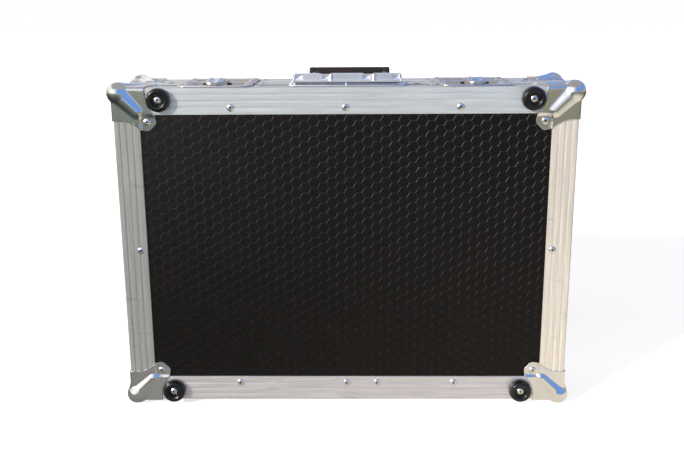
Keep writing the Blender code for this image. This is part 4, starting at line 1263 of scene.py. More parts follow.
def corner_mesh():
    side = [i / SPOKES for i in range(-SPOKES, SPOKES)]
    angles = [math.pi / 4 * (1 + math.copysign(abs(s) ** CROWDING, s)) for s in side]
    reaches = [edge_reach(angle) for angle in angles]
    shares = [*np.linspace(0, TIP_FROM, INNER_RINGS, endpoint=False)]
    shares += [*np.linspace(TIP_FROM, 1, TIP_RINGS)]
    sheet = np.zeros((len(shares), 3 * len(angles), 3))
    for axis in range(3):
        for j, (angle, reach) in enumerate(zip(angles, reaches)):
            column = axis * len(angles) + j
            for i, share in enumerate(shares):
                spot = np.full(3, -OUTER)
                spot[axis] += share * reach * math.cos(angle)
                spot[(axis + 1) % 3] += share * reach * math.sin(angle)
                sheet[i, column] = spot
    flat = sheet.reshape(-1, 3)
    flat, outwards = settle(flat)
    rows, columns = sheet.shape[:2]
    sheet, outwards = flat.reshape(sheet.shape), outwards.reshape(sheet.shape)
    last, normal = sheet[-1], outwards[-1]
    spread = last - sheet[-2]
    spread -= normal * (spread * normal).sum(axis=1)[:, None]
    spread /= np.linalg.norm(spread, axis=1)[:, None]
    rings = [last + spread * out - normal * down for out, down in OVER_EDGE]
    points = np.concatenate([flat, *rings])
    total = rows + len(OVER_EDGE)
    faces = []
    for i in range(total - 1):
        for j in range(columns):
            k = (j + 1) % columns
            faces.append((i * columns + j, i * columns + k, (i + 1) * columns + k, (i + 1) * columns + j))
    mesh = mesh_of(points, faces)
    bm = bmesh.new()
    bm.from_mesh(mesh)
    bmesh.ops.remove_doubles(bm, verts=bm.verts, dist=2e-6)
    bmesh.ops.recalc_face_normals(bm, faces=bm.faces)
    outer = max(bm.faces, key=lambda f: -sum(f.calc_center_median()))
    if outer.normal.dot(Vector((-1, -1, -1))) < 0:
        bmesh.ops.reverse_faces(bm, faces=bm.faces)
    bm.to_mesh(mesh)
    bm.free()
    return mesh


corner = corner_mesh()
print("one ball corner:", len(corner.polygons), "faces")

# %% [markdown]
# One corner serves all eight, placed and mirrored by its local frame.

# %% Place the eight corners
for half in ("base", "lid"):
    y, into = FACE_Y[half]
    for row, column, z, x, z_in, x_in in CORNERS:
        here = placed(corner, frame_at((x, y, z), (x_in, 0, 0), (0, into, 0), (0, 0, z_in)))
        name = half + "_ball_corner_" + row + "_" + column
        piece(name + "_pressing", here, BRIGHT_STEEL, half, [name], 50)
print("eight ball corners placed")

# %% [markdown]
# ## Feet
#
# A foot is a moulded rubber ring with a deep seat for its rivet. Its outer edge is a long soft
# curve, which is what draws the bright crescent on it.

# %% Feet
FOOT_PROFILE = (
    (0.0, 0.0003),
    (0.01325, 0.0003),
    (0.01335, 0.0006),
    (0.01335, 0.0030),
    (0.01325, 0.0052),
    (0.01300, 0.0068),
    (0.01255, 0.0081),
    (0.01185, 0.0091),
    (0.01095, 0.0097),
    (0.00985, 0.0100),
    (0.00870, 0.00985),
    (0.00765, 0.0094),
    (0.00690, 0.0087),
    (0.00645, 0.0077),
    (0.00620, 0.0064),
    (0.00595, FOOT_SEAT),
    (0.0, FOOT_SEAT),
)
foot = turned(FOOT_PROFILE, 64)
names = ("foot_bottom_left", "foot_bottom_right", "foot_top_left", "foot_top_right")
for name, (u, v) in zip(names, FEET):
    here = placed(foot, moved(FRONT, u, v))
    piece(name + "_moulding", here, FOOT_RUBBER, "base", [name], 60)
print(len(FEET), "feet of", len(foot.polygons), "faces")

# %% [markdown]
# ## Latch pockets
#
# The pocket of a butterfly latch is a pressed pan: a flat flange with rounded corners, a rolled edge,
# sloping walls and a flat floor. All of its loops are rounded rectangles, so it is a loft from the
# underside of the floor, out under the flange, round its edge and down into the pocket again.

# %% Pans of the latches
FLOOR_HALF = 0.018
POCKET_FLOOR = -0.008
WALL_SLOPE = 0.0055


def pan(half):
    sign, flange_length = SIGNS[half], FLANGE_LENGTH[half]
    near = PART_GAP / 2
    start, end = DISH_START, DISH_START + DISH_LENGTH[half]

    def loop(half_u, v_low, v_high, radius, w, part_radius):
        """A rounded rectangle with its own radius on the side of the parting line."""
        low, high = sorted((sign * v_low, sign * v_high))
        radii = (part_radius, radius) if sign > 0 else (radius, part_radius)
        return [(u, v, w) for u, v in rectangle((-half_u, low), (half_u, high), *radii)]

    def flange(inset, w):
        radius, part = max(0.010 - inset, 0.002), max(0.002 - inset, 0.0005)
        return loop(FLANGE_HALF - inset, near + inset, near + flange_length - inset, radius, w, part)

    def pocket(share, w, spread=0.0):
        """share 0 is the rolled rim and 1 the floor."""
        half_u = RIM_HALF + (FLOOR_HALF - RIM_HALF) * share + spread
        slope = WALL_SLOPE * share
        return loop(half_u, start + slope - spread, end - slope + spread, 0.005, w, 0.005)

    floor, wall = POCKET_FLOOR, DISH_WALL
    loops = [
        pocket(1, floor - wall, 0.0002),
        pocket(0.0, CLEAR, wall * 0.9),
        flange(0.0003, CLEAR),
        flange(0, CLEAR + 0.0003),
        flange(0, FLANGE_TOP - 0.0004),
        flange(0.00012, FLANGE_TOP - 0.00012),
        flange(0.0004, FLANGE_TOP),
        pocket(0.0, FLANGE_TOP, 0.0004),
        pocket(0.0, FLANGE_TOP - 0.00012),
        pocket(0.03, FLANGE_TOP - 0.0005),
        pocket(0.90, floor + 0.0009),
        pocket(0.97, floor + 0.00025),
        pocket(1.06, floor),
    ]
    return loft(loops)


PANS = {half: pan(half) for half in ("base", "lid")}
print("pan faces:", {half: len(mesh.polygons) for half, mesh in PANS.items()})

# %% [markdown]
# ## Rotor, wing and hook
#
# The rotor turns on the floor of the pan and carries the folding wing on a lug.

# %% Rotor
FACE_W = FLANGE_TOP + CLEAR
WING_THICK = 0.0038
PIVOT_W = FACE_W + WING_THICK / 2
ROTOR_V = -0.027
HUB_RADIUS = 0.0055


def rotor_mesh():
    low = POCKET_FLOOR + CLEAR
    profile = [
        (0.0, low),
        (0.0132, low),
        (0.0135, low + 0.0003),
        (0.0135, low + 0.0025),
        (0.0131, low + 0.0030),
        (0.0116, low + 0.0030),
        (0.0112, low + 0.0025),
        (0.0066, low + 0.0025),
        (0.0062, low + 0.0030),
        (HUB_RADIUS, low + 0.0031),
        (HUB_RADIUS, FACE_W - CLEAR - 0.0004),
        (HUB_RADIUS - 0.0004, FACE_W - CLEAR),
        (0.0, FACE_W - CLEAR),
    ]
    end = WING_THICK / 2
    outline = [(-end, -WING_THICK), (end, -WING_THICK)]
    outline += [(end * math.cos(math.radians(a)), end * math.sin(math.radians(a))) for a in range(0, 181, 15)]
    lug = placed(plate(outline, -0.003, 0.003, "u"), moved(HERE, w=PIVOT_W))
    return joined(turned(profile, 40), softened(lug, 0.0003))


ROTOR = rotor_mesh()
print("rotor:", len(ROTOR.polygons), "faces")

# %% [markdown]
# The wing is a cast plate with a bead along each side, which are the two bright lines in the
# picture, and a hollow between them for the fingertip. Towards the pivot it rises to a knuckle. The
# case stands close above the floor, so the wings on its under side stay flat there.

# %% Wing
WING_LENGTH, WING_HALF = 0.0250, 0.010
PIVOT_END = 0.0019
TIP_ROUND = 0.006
BEAD_AT, BEAD_WIDTH, BEAD_HIGH = 0.0056, 0.0011, 0.00085


def wing_mesh(rise):
    across = np.linspace(-1, 1, 33)
    round_end = np.linspace(PIVOT_END, -PIVOT_END, 7)
    along = np.concatenate([round_end, np.linspace(-0.0035, -WING_LENGTH, 19)])
    top, under = [], []
    for v in along:
        from_tip = v + WING_LENGTH
        short = max(TIP_ROUND - from_tip, 0)
        half = WING_HALF - TIP_ROUND + math.sqrt(max(TIP_ROUND**2 - short**2, 0))
        taper = math.sqrt(max(1 - (v / PIVOT_END) ** 2, 1e-6)) if v > 0 else 1
        for s in across:
            u = half * s
            bead = BEAD_HIGH * math.exp(-(((abs(u) - BEAD_AT) / BEAD_WIDTH) ** 2)) * min(1, from_tip / 0.003)
            hollow = 0.0007 * smooth_step(1 - abs(u) / 0.0045) * smooth_step((-v - 0.004) / 0.006)
            height = (WING_THICK / 2 + rise * smooth_step((v + 0.023) / 0.019)) * taper
            if v > 0:
                bead *= smooth_step((PIVOT_END - v) / PIVOT_END)
            edge = 0.0007 * smooth_step((abs(s) - 0.86) / 0.14) + 0.0006 * smooth_step(1 - from_tip / 0.002)
            top.append((u, v, height + bead - hollow - edge))
            under.append((u, v, edge * 0.5 - WING_THICK / 2 * taper))
    count = len(across)
    points = top + under
    base = len(top)
    faces = []
    for i in range(len(along) - 1):
        for j in range(count - 1):
            a, b, c, d = i * count + j, i * count + j + 1, (i + 1) * count + j + 1, (i + 1) * count + j
            faces += [(a, b, c, d), (base + d, base + c, base + b, base + a)]
        for j in (0, count - 1):
            a, d = i * count + j, (i + 1) * count + j
            faces.append((a, d, base + d, base + a))
    for i in (0, len(along) - 1):
        for j in range(count - 1):
            a, b = i * count + j, i * count + j + 1
            faces.append((a, b, base + b, base + a))
    body = tidy(mesh_of(points, faces))
    return combined(body, box_mesh((-0.0033, -0.0022, -0.004), (0.0033, 0.004, 0.007)))


WINGS = {"top": wing_mesh(0.0021), "bottom": wing_mesh(-0.0003)}
print("wing:", len(WINGS["top"].polygons), "faces")

# %% [markdown]
# The hook is a pressed strip with a slot round the rotor's hub. It lies on the rotor, climbs out of
# the pan and reaches over the lid's flange. Behind it the pan's wall is open, and that mouth is
# always in deep shadow, so a dark plate on the wall stands for it.

# %% Hook and mouth
HOOK_HALF = 0.010
HOOK_BACK, HOOK_REACH, HOOK_THICK = -0.012, 0.042, 0.0015
MOUTH_HALF, MOUTH_LOW = 0.0165, -0.0056


def hook_mesh():
    low = POCKET_FLOOR + 0.0036
    start, end = -ROTOR_V - 0.019, -ROTOR_V - 0.0125
    centre = [
        (HOOK_BACK, low),
        (start - 0.0012, low),
        (start, low + 0.0004),
        (start + 0.0010, low + 0.0011),
        (end - 0.0010, FACE_W - 0.0011),
        (end, FACE_W - 0.0004),
        (end + 0.0012, FACE_W),
        (HOOK_REACH, FACE_W),
    ]
    upper = [(v - (0.0004 if 0 < i < 7 else 0), w + HOOK_THICK) for i, (v, w) in enumerate(centre)]
    body = plate(centre + upper[::-1], -HOOK_HALF, HOOK_HALF, "u")
    slot = rectangle((-0.0062, -0.0108), (0.0062, 0.0058), 0.0056)
    return softened(combined(body, plate(slot, low - 0.002, low + 0.004)), 0.00025, 2, 40)


def mouth_mesh():
    slope = WALL_SLOPE / (FLANGE_TOP - POCKET_FLOOR)
    heights = (FLANGE_TOP - 0.0008, MOUTH_LOW)
    face = [(-DISH_START - slope * (FLANGE_TOP - w) - 0.0010, w) for w in heights]
    outline = face + [(v - 0.0003, w) for v, w in reversed(face)]
    return plate(outline, -MOUTH_HALF, MOUTH_HALF, "u")


HOOK, MOUTH = hook_mesh(), mouth_mesh()
print("hook:", len(HOOK.polygons), "faces")

# %% [markdown]
# Four latches: two beside the handle and two on the side that the case stands on. The mouth lies a
# little towards the case's end.

# %% Place the latches
MOUTH_ASIDE = 0.0025


def place_latch(side, column, place, u):
    name = "latch_" + side + "_" + column
    seat = moved(place, u)
    middle = moved(seat, v=ROTOR_V)
    parts = {
        "dish": (PANS["base"], seat, "base"),
        "keeper": (PANS["lid"], seat, "lid"),
        "rotor": (ROTOR, middle, name + "_rotor"),
        "wing": (WINGS[side], moved(middle, w=PIVOT_W), name + "_wing"),
        "hook": (HOOK, middle, name + "_hook"),
    }
    for part, (mesh, where, body) in parts.items():
        node = name + "_" + part
        piece(node + "_plated", placed(mesh, where), ZINC, body, [node], 40)
    # Painted shadow: a dark plate on the pan's wall for the shaded mouth behind the hook.
    mouth = placed(MOUTH, moved(seat, math.copysign(MOUTH_ASIDE, u)))
    piece(name + "_mouth_shadow", mouth, SHADOW_STEEL, "base")


for side, place, sign in (("top", TOP, 1), ("bottom", UNDER, -1)):
    place_latch(side, "left", place, -sign * LATCH_U)
    place_latch(side, "right", place, sign * LATCH_U)
print("four latches placed")

# %% [markdown]
# ## Handle
#
# The handle stands two millimetres right of the middle. Its steel guard is a wall bent up from the
# base plate. A lip runs along its foot with a dark gap under it, two dips run along its upper edge,
# pressed four-sided dents show as small crosses, and two bright ribs stand beside the middle
# field. The wall is a loft of many sections: each column of points runs round the wall from the lip,
# up its face, over the rim and down its back.

# %% The guard's wall
WALL_V = PLATE_V + 0.004
WALL_HALF = 0.0595
WALL_TOP = 0.0145
DIPS = ((-0.0305, -0.0178), (0.0176, 0.0303))
RIBS = (-0.0181, 0.0302)
DENTS = (-0.0545, -0.0233, 0.0220, 0.0555)
DENT_HALF = 0.0046
PRESSED = 0.0011
LIP_LOW = 0.0041


def bulge(distance, reach):
    """One in the middle and zero at the reach."""
    return smooth_step(1 - abs(distance) / reach)


def guard_front(u):
    """The wall's face at one place along it, from the lip up to the rolled rim."""
    dip = max(smooth_step((u - a) / 0.0015) * smooth_step((b - u) / 0.0015) for a, b in DIPS)
    top = WALL_TOP - 0.0011 - 0.0009 * dip
    rib = PRESSED * sum(bulge(u - c, 0.0026) for c in RIBS)
    rows = []
    for w in np.linspace(0.0066, top, 20):
        across = [max(abs(u - c) / DENT_HALF, abs(w - 0.0101) / 0.0030) for c in DENTS]
        dent = PRESSED * max(0.0, 1 - min(across))
        rows.append((WALL_V + 0.0006 + dent - rib * smooth_step((top - w + 0.0006) / 0.001), w))
    over = ((0.0006, 0.0005), (0.0011, 0.0011), (0.0019, 0.0009))
    return rows + [(WALL_V + back, top + up) for back, up in over]


def guard_mesh():
    columns = [np.linspace(-WALL_HALF, WALL_HALF, 100)]
    columns += [np.linspace(c - 0.0030, c + 0.0030, 13) for c in RIBS]
    columns += [np.linspace(c - DENT_HALF, c + DENT_HALF, 13) for c in DENTS]
    columns = np.unique(np.round(np.concatenate(columns), 6))
    back = WALL_V + HANDLE_THICK + 0.0006
    floor = CLEAR + 0.0012
    loops = []
    for u in columns:
        foot = [
            (WALL_V + 0.0030, floor),
            (WALL_V + 0.0030, LIP_LOW),
            (WALL_V - 0.0030, LIP_LOW),
            (WALL_V - 0.0037, 0.0046),
            (WALL_V - 0.0038, 0.0053),
            (WALL_V - 0.0032, 0.0060),
            (WALL_V - 0.0008, 0.0063),
        ]
        rear = [(back + 0.0008, WALL_TOP - 0.0022), (back + 0.0024, 0.0048), (back + 0.0024, floor)]
        loops.append([(u, v, w) for v, w in foot + guard_front(u) + rear])
    return loft(loops)


wall = guard_mesh()
print("guard wall:", len(wall.polygons), "faces")

# %% [markdown]
# The wall's ends flare out to the plate, and behind each stands a bracket that carries the rod. A small post
# stands in the middle of the gap under the lip, and a dark strip behind it is painted shadow for the depth of
# that gap.

# %% Ends and base plate of the guard
ROD_V, ROD_W = FRONT_Y - PART_Y + 0.024, 0.0085
HANDLE = moved(TOP, HANDLE_U)
PLATE_TOP = CLEAR + HANDLE_THICK
GAP_HALF, GAP_LOW = 0.0585, 0.0034


def flare(side):
    """The end of the wall, which curves out and down to the plate."""
    loops = []
    thick = 0.0011
    for share in np.linspace(0, 1, 14):
        w = WALL_TOP - 0.0012 - (WALL_TOP - 0.0036) * share
        u = side * (WALL_HALF - thick + 0.0050 * share**2.2)
        low, high = sorted((u, u + side * thick))
        front, rear = WALL_V - 0.0010 * share, WALL_V + 0.0026 + 0.002 * share
        loops.append([(low, front, w), (high, front, w), (high, rear, w), (low, rear, w)])
    return softened(loft(loops), 0.0002)


def cheek(side):
    """The bracket behind the wall's end that carries the rod."""
    far = WALL_V + 0.020
    outline = [(WALL_V + 0.0007, 0.0011), (far, 0.0011), (far, ROD_W), (far - 0.002, 0.0108)]
    outline += [(far - 0.005, 0.0128), (WALL_V + 0.0015, 0.0139), (WALL_V + 0.0007, 0.0139)]
    low = -WALL_HALF if side < 0 else WALL_HALF - HANDLE_THICK
    hole = turned([(0.0028, -0.003), (0.0028, 0.003)], 24)
    across = frame_at((low + HANDLE_THICK / 2, ROD_V, ROD_W), (0, 1, 0), (0, 0, 1), (1, 0, 0))
    return softened(combined(plate(outline, low, low + HANDLE_THICK, "u"), placed(hole, across)), 0.0003)


flat = rectangle((-PLATE_HALF, PLATE_V), (PLATE_HALF, PLATE_V + PLATE_LENGTH), 0.005)
foot_plate = softened(plate(flat, CLEAR, PLATE_TOP), 0.0004)
post = turned([(0.0, 0.0), (0.0015, 0.0), (0.0015, 0.0032), (0.0, 0.0032)], 12)
post = placed(post, moved(HERE, -0.001, WALL_V - 0.0015, CLEAR + 0.0012))
guard = joined(wall, foot_plate, post, flare(-1), flare(1), cheek(-1), cheek(1))
piece("handle_guard", placed(guard, HANDLE), HANDLE_ZINC_SKY_TINTED, "base", ["handle_plate"], 40)
# Painted shadow: a dark strip in the gap under the lip.
gap = rectangle((-GAP_HALF, WALL_V - 0.0026), (GAP_HALF, WALL_V + 0.0028), 0.0004)
gap = plate(gap, GAP_LOW, LIP_LOW)
piece("handle_guard_gap_shadow", placed(gap, HANDLE), SHADOW_STEEL, "base")
print("handle guard:", len(guard.polygons), "faces")

# %% [markdown]
# The bow is a rod with two flat arms and a crossbar, and the rod's heads hold it in the brackets.

# %% Bow
ROD = HANDLE @ frame_at((0, ROD_V, ROD_W), (0, 1, 0), (0, 0, 1), (1, 0, 0))
BOW_ASIDE = 0.0025
BOW = moved(ROD, w=BOW_ASIDE)
GRIP_V, GRIP_W = 0.025, 0.0187 - 0.006 - ROD_W
GRIP_HALF = 0.046
ARM_OUT = GRIP_HALF - 0.004
ARM_THICK = 0.004
ARM_RADIUS = 0.0048


def bar_mesh(profile):
    """A round bar, drawn for one half and mirrored to the other."""
    return turned(profile + [(radius, -height) for radius, height in reversed(profile)], 32)


def arm_outline():
    outline = []
    for start, v, w, radius in ((90, 0.0, 0.0, ARM_RADIUS), (-90, GRIP_V, GRIP_W - 0.0012, 0.0034)):
        for step in range(15):
            angle = math.radians(start + 180 * step / 14)
            outline.append((v + radius * math.cos(angle), w + radius * math.sin(angle)))
    return outline


end, bar_end = -WALL_HALF - 2 * CLEAR, 0.001 - ARM_OUT
head = [(0.0, end - 0.0015), (0.0030, end - 0.0014), (0.00375, end - 0.0009), (0.00375, end)]
rod = bar_mesh(head + [(0.0025, end)])
crossbar = bar_mesh([(0.0, bar_end), (0.0026, bar_end), (0.003, bar_end + 0.0004)])
arms = []
for low in (-ARM_OUT, ARM_OUT - ARM_THICK):
    arms.append(softened(plate(arm_outline(), low, low + ARM_THICK), 0.0007, 3))
bow = joined(placed(rod, moved(HERE, w=-BOW_ASIDE)), placed(crossbar, moved(HERE, GRIP_V, GRIP_W)), *arms)
piece("handle_bow_steel", placed(bow, BOW), ZINC, "handle", ["handle_bow"], 40)
print("bow:", len(bow.polygons), "faces")

# %% [markdown]
# The rubber grip is moulded round the crossbar and the arms' ends, so the arms come out of its back
# and hardly show. Its section is a softly squared bar, and a shallow groove runs round it near each
# end. Each station along it gives a place and the share of the full section there.

# %% Grip
GRIP_WIDE, GRIP_HIGH = 0.0085, 0.0060


def grip_mesh():
    half = GRIP_HALF
    stations = [(-half, 0.86), (-half + 0.0004, 0.94), (-half + 0.0013, 0.985), (-half + 0.0025, 1.0)]
    stations += [(-0.0390, 1.0), (-0.0387, 0.965), (-0.0377, 0.965), (-0.0374, 1.0)]
    stations += [(x, 1.0) for x in np.linspace(-0.034, 0.0, 7)]
    stations += [(-x, scale) for x, scale in reversed(stations[:-1])]
    loops = []
    for x, scale in stations:
        loop = []
        for i in range(40):
            angle = 2 * math.pi * i / 40
            c, s = math.cos(angle), math.sin(angle)
            v = GRIP_WIDE * scale * math.copysign(abs(c) ** 0.55, c)
            w = GRIP_HIGH * scale * math.copysign(abs(s) ** 0.6, s)
            loop.append((GRIP_V + v, GRIP_W + w, x))
        loops.append(loop)
    return loft(loops)


grip = placed(grip_mesh(), BOW)
piece("handle_grip_moulding", grip, GRIP_RUBBER, "handle", ["handle_grip"], 45)
print("grip:", len(grip.polygons), "faces")

# %% [markdown]
# The spring that folds the handle down is wound round the rod. A spiral curve with a round section
# swept along it is the spring, so Geometry Nodes draw it.

# %% Spring
def spring_tree():
    tree = Tree(
        "wound_spring",
        Turns="float",
        Coil_Radius="float",
        Length="float",
        Wire_Radius="float",
        Finish="material",
    )
    coil = tree.node("GeometryNodeCurveSpiral", Resolution=18)
    tree.put(coil, "Rotations", tree.value("Turns"))
    tree.put(coil, "Start Radius", tree.value("Coil Radius"))
    tree.put(coil, "End Radius", tree.value("Coil Radius"))
    tree.put(coil, "Height", tree.value("Length"))
    wire = tree.node("GeometryNodeCurvePrimitiveCircle", Resolution=8)
    tree.put(wire, "Radius", tree.value("Wire Radius"))
    swept = tree.node("GeometryNodeCurveToMesh", Curve=coil.outputs[0], Profile_Curve=wire.outputs[0])
    tree.put(swept, "Fill Caps", True)
    tree.finish_with(swept.outputs[0], tree.value("Finish"))
    return tree


SPRING_LENGTH = 0.0425
spring = spring_tree().grow(
    bpy.data.meshes.new("empty"),
    Turns=26.0,
    Coil_Radius=0.0036,
    Length=SPRING_LENGTH,
    Wire_Radius=0.00072,
    Finish=ZINC,
)
tidy(spring)
spring = placed(spring, moved(ROD, w=-SPRING_LENGTH / 2))
piece("handle_spring_coil", spring, ZINC, "base", ["handle_spring"], 60)
print("spring:", len(spring.polygons), "faces")

# %% [markdown]
# ## Foam
#
# The console lies in a bay cut into firm foam in the base, and a ribbed pad in the lid presses on it.
# The tray is one loft of loops: round its outside, over its softened edge and down into the bay.

# %% Foam tray in the base
FOAM_GAP = 0.0005
tray_low, tray_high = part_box("base_foam_tray")
BAY_X = 0.242
FOAM_WALL = 0.0194
BAY_Z = (BOTTOM_Z + INNER + FOAM_GAP + FOAM_WALL, TOP_Z - INNER - FOAM_GAP - FOAM_WALL)


def tray_mesh():
    outside = (tray_high[0], tray_low[2], tray_high[2], 0.003)
    bay = (BAY_X, *BAY_Z, 0.006)
    floor, top = tray_low[1], tray_high[1]

    def loop(shape, inset, y):
        x, low_z, high_z, radius = shape
        low, high = (inset - x, low_z + inset), (x - inset, high_z - inset)
        return [(u, y, v) for u, v in rectangle(low, high, radius, steps=5)]

    stations = [(outside, 0, floor), (outside, 0, top - 0.002), (outside, 0.0006, top - 0.0005)]
    stations += [(outside, 0.0020, top), (bay, -0.0020, top), (bay, -0.0006, top - 0.0005)]
    stations += [(bay, 0, top - 0.002), (bay, 0, floor + 0.0115), (bay, 0.0015, floor + 0.010)]
    return loft([loop(*station) for station in stations])


tray = piece("base_foam_bay", tray_mesh(), FOAM, "base", ["base_foam_tray"], 40)
print("foam tray:", len(tray.data.polygons), "faces")

# %% [markdown]
# The lid's pad is convoluted foam. Its bumps follow a rule, a product of two sines, so Geometry
# Nodes raise them from a flat grid.

# %% Convoluted skin of the lid's pad
def convoluted_tree():
    tree = Tree(
        "convoluted_foam",
        Width="float",
        Height="float",
        Pitch="float",
        Rise="float",
        Columns="int",
        Rows="int",
        Finish="material",
    )
    grid = tree.node("GeometryNodeMeshGrid")
    sockets = ("Size X", "Size Y", "Vertices X", "Vertices Y")
    for socket, label in zip(sockets, ("Width", "Height", "Columns", "Rows")):
        tree.put(grid, socket, tree.value(label))
    place = tree.node("ShaderNodeSeparateXYZ", Vector=tree.node("GeometryNodeInputPosition").outputs[0])
    turn = tree.math("DIVIDE", math.pi * 2, tree.value("Pitch"))
    waves = [tree.math("SINE", tree.math("MULTIPLY", place.outputs[k], turn)) for k in (0, 1)]
    height = tree.math("MULTIPLY", tree.math("MULTIPLY", *waves), tree.value("Rise"))
    raised = tree.node("GeometryNodeSetPosition", Geometry=grid.outputs[0], Offset=tree.vector(0, 0, height))
    tree.finish_with(raised.outputs[0], tree.value("Finish"))
    return tree


pad_low, pad_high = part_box("lid_foam_pad")
PAD_RISE = 0.0032
bumps = convoluted_tree().grow(
    bpy.data.meshes.new("empty"),
    Width=pad_high[0] - pad_low[0],
    Height=pad_high[2] - pad_low[2],
    Pitch=0.036,
    Rise=PAD_RISE,
    Columns=126,
    Rows=90,
    Finish=FOAM,
)
print("convoluted grid:", len(bumps.polygons), "faces")

# %% [markdown]
# The grid is only a skin. Its rim is pulled down to the back of the pad and closed, which makes it
# one solid block of foam that stays inside the solid's box.

# %% Close the pad
def close_pad(skin):
    bm = bmesh.new()
    bm.from_mesh(skin)
    edge = [e for e in bm.edges if e.is_boundary]
    sides = bmesh.ops.extrude_edge_only(bm, edges=edge)["geom"]
    thick = pad_high[1] - pad_low[1] - PAD_RISE
    for vert in (item for item in sides if isinstance(item, bmesh.types.BMVert)):
        vert.co.z = -thick
    bmesh.ops.holes_fill(bm, edges=[e for e in bm.edges if e.is_boundary], sides=0)
    bmesh.ops.recalc_face_normals(bm, faces=bm.faces)
    bm.to_mesh(skin)
    bm.free()
    return skin


pad_middle = (0, pad_low[1] + PAD_RISE, (pad_low[2] + pad_high[2]) / 2)
pad_mesh = placed(close_pad(bumps), frame_at(pad_middle, (1, 0, 0), (0, 0, 1), (0, -1, 0)))
pad = piece("lid_foam_convoluted", pad_mesh, FOAM, "lid", ["lid_foam_pad"], 70)
print("foam pad:", len(pad.data.polygons), "faces")

# %% [markdown]
# ## Floor, light and camera
#
# The case stands on a pale floor. The floor glows slightly for the camera and for reflections, so
# that it stays white there and still keeps the case's shadow.

# %% Lay the floor
FLOOR_REACH = 20.0


def square(reach, height):
    return [(x * reach, y * reach, height) for x, y in ((-1, -1), (1, -1), (1, 1), (-1, 1))]


def stage_piece(name, corners, material):
    """One or more four-sided faces that belong to the studio, not to the case."""
    faces = [(i, i + 1, i + 2, i + 3) for i in range(0, len(corners), 4)]
    laid = bpy.data.objects.new(name, mesh_of(corners, faces))
    laid.data.materials.append(material)
    bpy.context.collection.objects.link(laid)
    return laid


def floor_finish():
    made = Finish("pale_floor", (0.80, 0.80, 0.80), 0.9)
    path = made.node("ShaderNodeLightPath")
    seen = made.sums("MAXIMUM", path.outputs["Is Camera Ray"], path.outputs["Is Glossy Ray"])
    seen = made.sums("MAXIMUM", seen, path.outputs["Is Transmission Ray"])
    made.shader.inputs["Emission Color"].default_value = (1, 1, 1, 1)
    made.use(Emission_Strength=made.sums("MULTIPLY", seen, 0.55))
    return made.material


stage_piece("floor", square(FLOOR_REACH, 0), floor_finish())
print("floor laid")

# %% [markdown]
# Bright metal looks like what it mirrors. A white studio would leave its corners blank, so coloured
# cards lie and stand round the case. Only reflections see them: the background stays white, and no
# shadow falls from them. The lying card is grey at the left and cream at the right close in front,
# with a dark patch that the lower left of the board mirrors. Further off it is green, and behind the
# case brown.

# %% The lying card that the metal mirrors
CARD_REACH, CARD_LOW, CARD_HIGH = 5.0, 0.003, 5.0


def card(name, corners, paint):
    made = Finish(name, (0.0, 0.0, 0.0), 1.0)
    made.use(Emission_Color=paint(made))
    made.shader.inputs["Emission Strength"].default_value = 1.0
    laid = stage_piece(name, corners, made.material)
    laid.visible_camera = laid.visible_diffuse = laid.visible_shadow = False


def ground_paint(made):
    place = made.node("ShaderNodeSeparateXYZ", Vector=made.where)
    across, deep = place.outputs["X"], place.outputs["Y"]
    away = made.node("ShaderNodeVectorMath", operation="LENGTH")
    made.tree.links.new(made.where, away.inputs[0])
    to_right = made.mask(across, -0.30, 0.30)
    near = made.blend(to_right, (0.20, 0.20, 0.19), (0.92, 0.83, 0.70))
    shade = made.sums("MULTIPLY", made.mask(deep, -0.17, -0.25), made.mask(across, 0.05, -0.20))
    near = made.blend(shade, near, (0.05, 0.055, 0.065))
    patch = made.mask(made.noise(3.2, 3), 0.42, 0.58)
    left = made.blend(patch, (0.145, 0.20, 0.19), (0.060, 0.085, 0.028))
    right = made.blend(patch, (0.25, 0.26, 0.20), (0.19, 0.19, 0.075))
    far = made.blend(to_right, left, right)
    front = made.blend(made.mask(away.outputs["Value"], 0.55, 1.30), near, far)
    behind = made.blend(patch, (0.16, 0.13, 0.10), (0.07, 0.05, 0.035))
    ground = made.blend(made.mask(deep, 0.02, 0.25), front, behind)
    beside = made.sums("MULTIPLY", made.mask(across, -0.34, -0.42), made.mask(deep, -0.40, -0.20))
    return made.blend(beside, ground, (0.030, 0.026, 0.020))


card("ground_card", square(CARD_REACH, CARD_LOW), ground_paint)
print("ground card laid")

# %% [markdown]
# Four upright cards close the square. They are cream and brown low down, higher behind than in
# front, and above that white on the sun's side and blue on the other, as a sky is.

# %% The upright cards that the metal mirrors
def surround_paint(made):
    patch = made.mask(made.noise(2.2, 4, made.stretched((1, 1, 2.5))), 0.38, 0.60)
    earth = made.blend(patch, (0.80, 0.68, 0.55), (0.36, 0.26, 0.20))
    place = made.node("ShaderNodeSeparateXYZ", Vector=made.where)
    sky = made.blend(made.mask(place.outputs["X"], -2.2, 0.6), (1.1, 1.1, 1.1), (0.19, 0.38, 0.85))
    edge = made.mask(place.outputs["Y"], -3.0, 3.0, 0.38, 1.6)
    height = made.sums("SUBTRACT", place.outputs["Z"], edge)
    return made.blend(made.mask(height, -0.05, 0.10), earth, sky)


walls = []
ring = square(CARD_REACH, CARD_LOW)
for (x0, y0, low), (x1, y1, _) in zip(ring, ring[1:] + ring[:1]):
    walls += [(x0, y0, low), (x1, y1, low), (x1, y1, CARD_HIGH), (x0, y0, CARD_HIGH)]
card("surround_card", walls, surround_paint)
print("surround card placed")

# %% [markdown]
# The world gives the soft light. It is white up to a little above eye level, so the background is
# white, and a plain sky above that, paler on the sun's side.

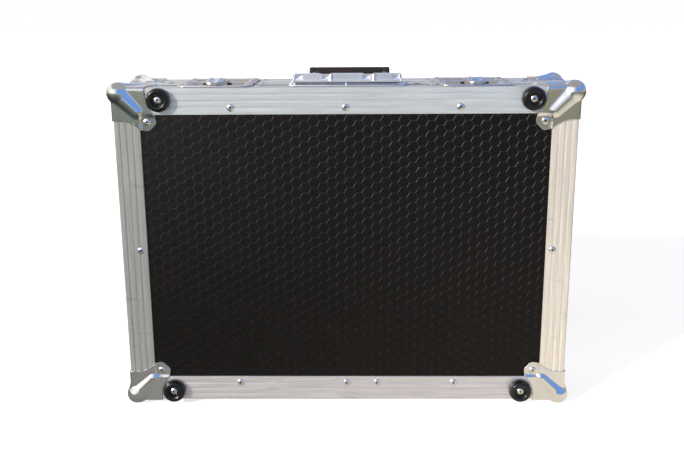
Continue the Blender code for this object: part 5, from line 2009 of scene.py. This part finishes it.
# %% World
def studio_world():
    world = bpy.data.worlds.new("studio")
    bpy.context.scene.world = world
    world.use_nodes = True
    made = Painter(world.node_tree, "Generated")
    split = made.node("ShaderNodeSeparateXYZ", Vector=made.where)
    right, deep, up = (split.outputs[axis] for axis in "XYZ")

    def turn(value, low, high, first, second):
        return made.blend(made.mask(value, low, high, curve="SMOOTHSTEP"), first, second)

    front = turn(right, -0.50, 0.15, (0.72, 0.72, 0.73), (0.36, 0.43, 0.54))
    sky = turn(deep, -0.10, 0.25, front, (0.50, 0.47, 0.44))
    sky = turn(up, 0.62, 0.85, sky, (0.42, 0.41, 0.42))
    back = made.tree.nodes["Background"]
    made.tree.links.new(turn(up, 0.26, 0.36, (1.0, 1.0, 1.0), sky), back.inputs["Color"])
    back.inputs["Strength"].default_value = 1.0


studio_world()
print("world set")

# %% [markdown]
# One sun at the upper left gives the picture's shading. Its direction comes from the shadows of the
# feet, which fall to the right and a little down, and its small width keeps their edges crisp.

# %% Sun
def sunlight(place, aim, power, colour, width):
    data = bpy.data.lights.new("sun", "SUN")
    data.energy, data.color, data.angle = power, colour, width
    made = bpy.data.objects.new("sun", data)
    made.location = place
    made.rotation_euler = (Vector(aim) - Vector(place)).to_track_quat("-Z", "Y").to_euler()
    bpy.context.collection.objects.link(made)


sunlight(
    place=(-2.04, -2.0, 1.29),
    aim=(0, 0, MIDDLE_Z),
    power=3.2,
    colour=(1.0, 0.96, 0.90),
    width=math.radians(1.6),
)
bpy.context.scene.view_settings.view_transform = "Standard"
print("sun set")

# %% [markdown]
# The camera stands a metre in front of the case, a little above its top edge, and looks down at it.
# Its place was worked out from the corners of the case in the picture.

# %% Camera
def match_camera():
    yaw, pitch, roll = (math.radians(angle) for angle in (-0.8644, 14.2349, -0.3554))
    forward = Vector((math.sin(yaw) * math.cos(pitch), math.cos(yaw) * math.cos(pitch), -math.sin(pitch)))
    right = Vector((math.cos(yaw), -math.sin(yaw), 0))
    up = right.cross(forward)
    side = math.cos(roll) * right + math.sin(roll) * up
    top = -math.sin(roll) * right + math.cos(roll) * up
    data = bpy.data.cameras.new("camera")
    data.lens, data.sensor_width, data.sensor_fit = 45.84, 36.0, "HORIZONTAL"
    data.clip_start, data.clip_end = 0.01, 100
    made = bpy.data.objects.new("camera", data)
    place = (0.0101, -1.0339, 0.4678)
    made.matrix_world = frame_at(place, side, top, -forward)
    bpy.context.collection.objects.link(made)
    bpy.context.scene.camera = made


match_camera()
print("camera placed")
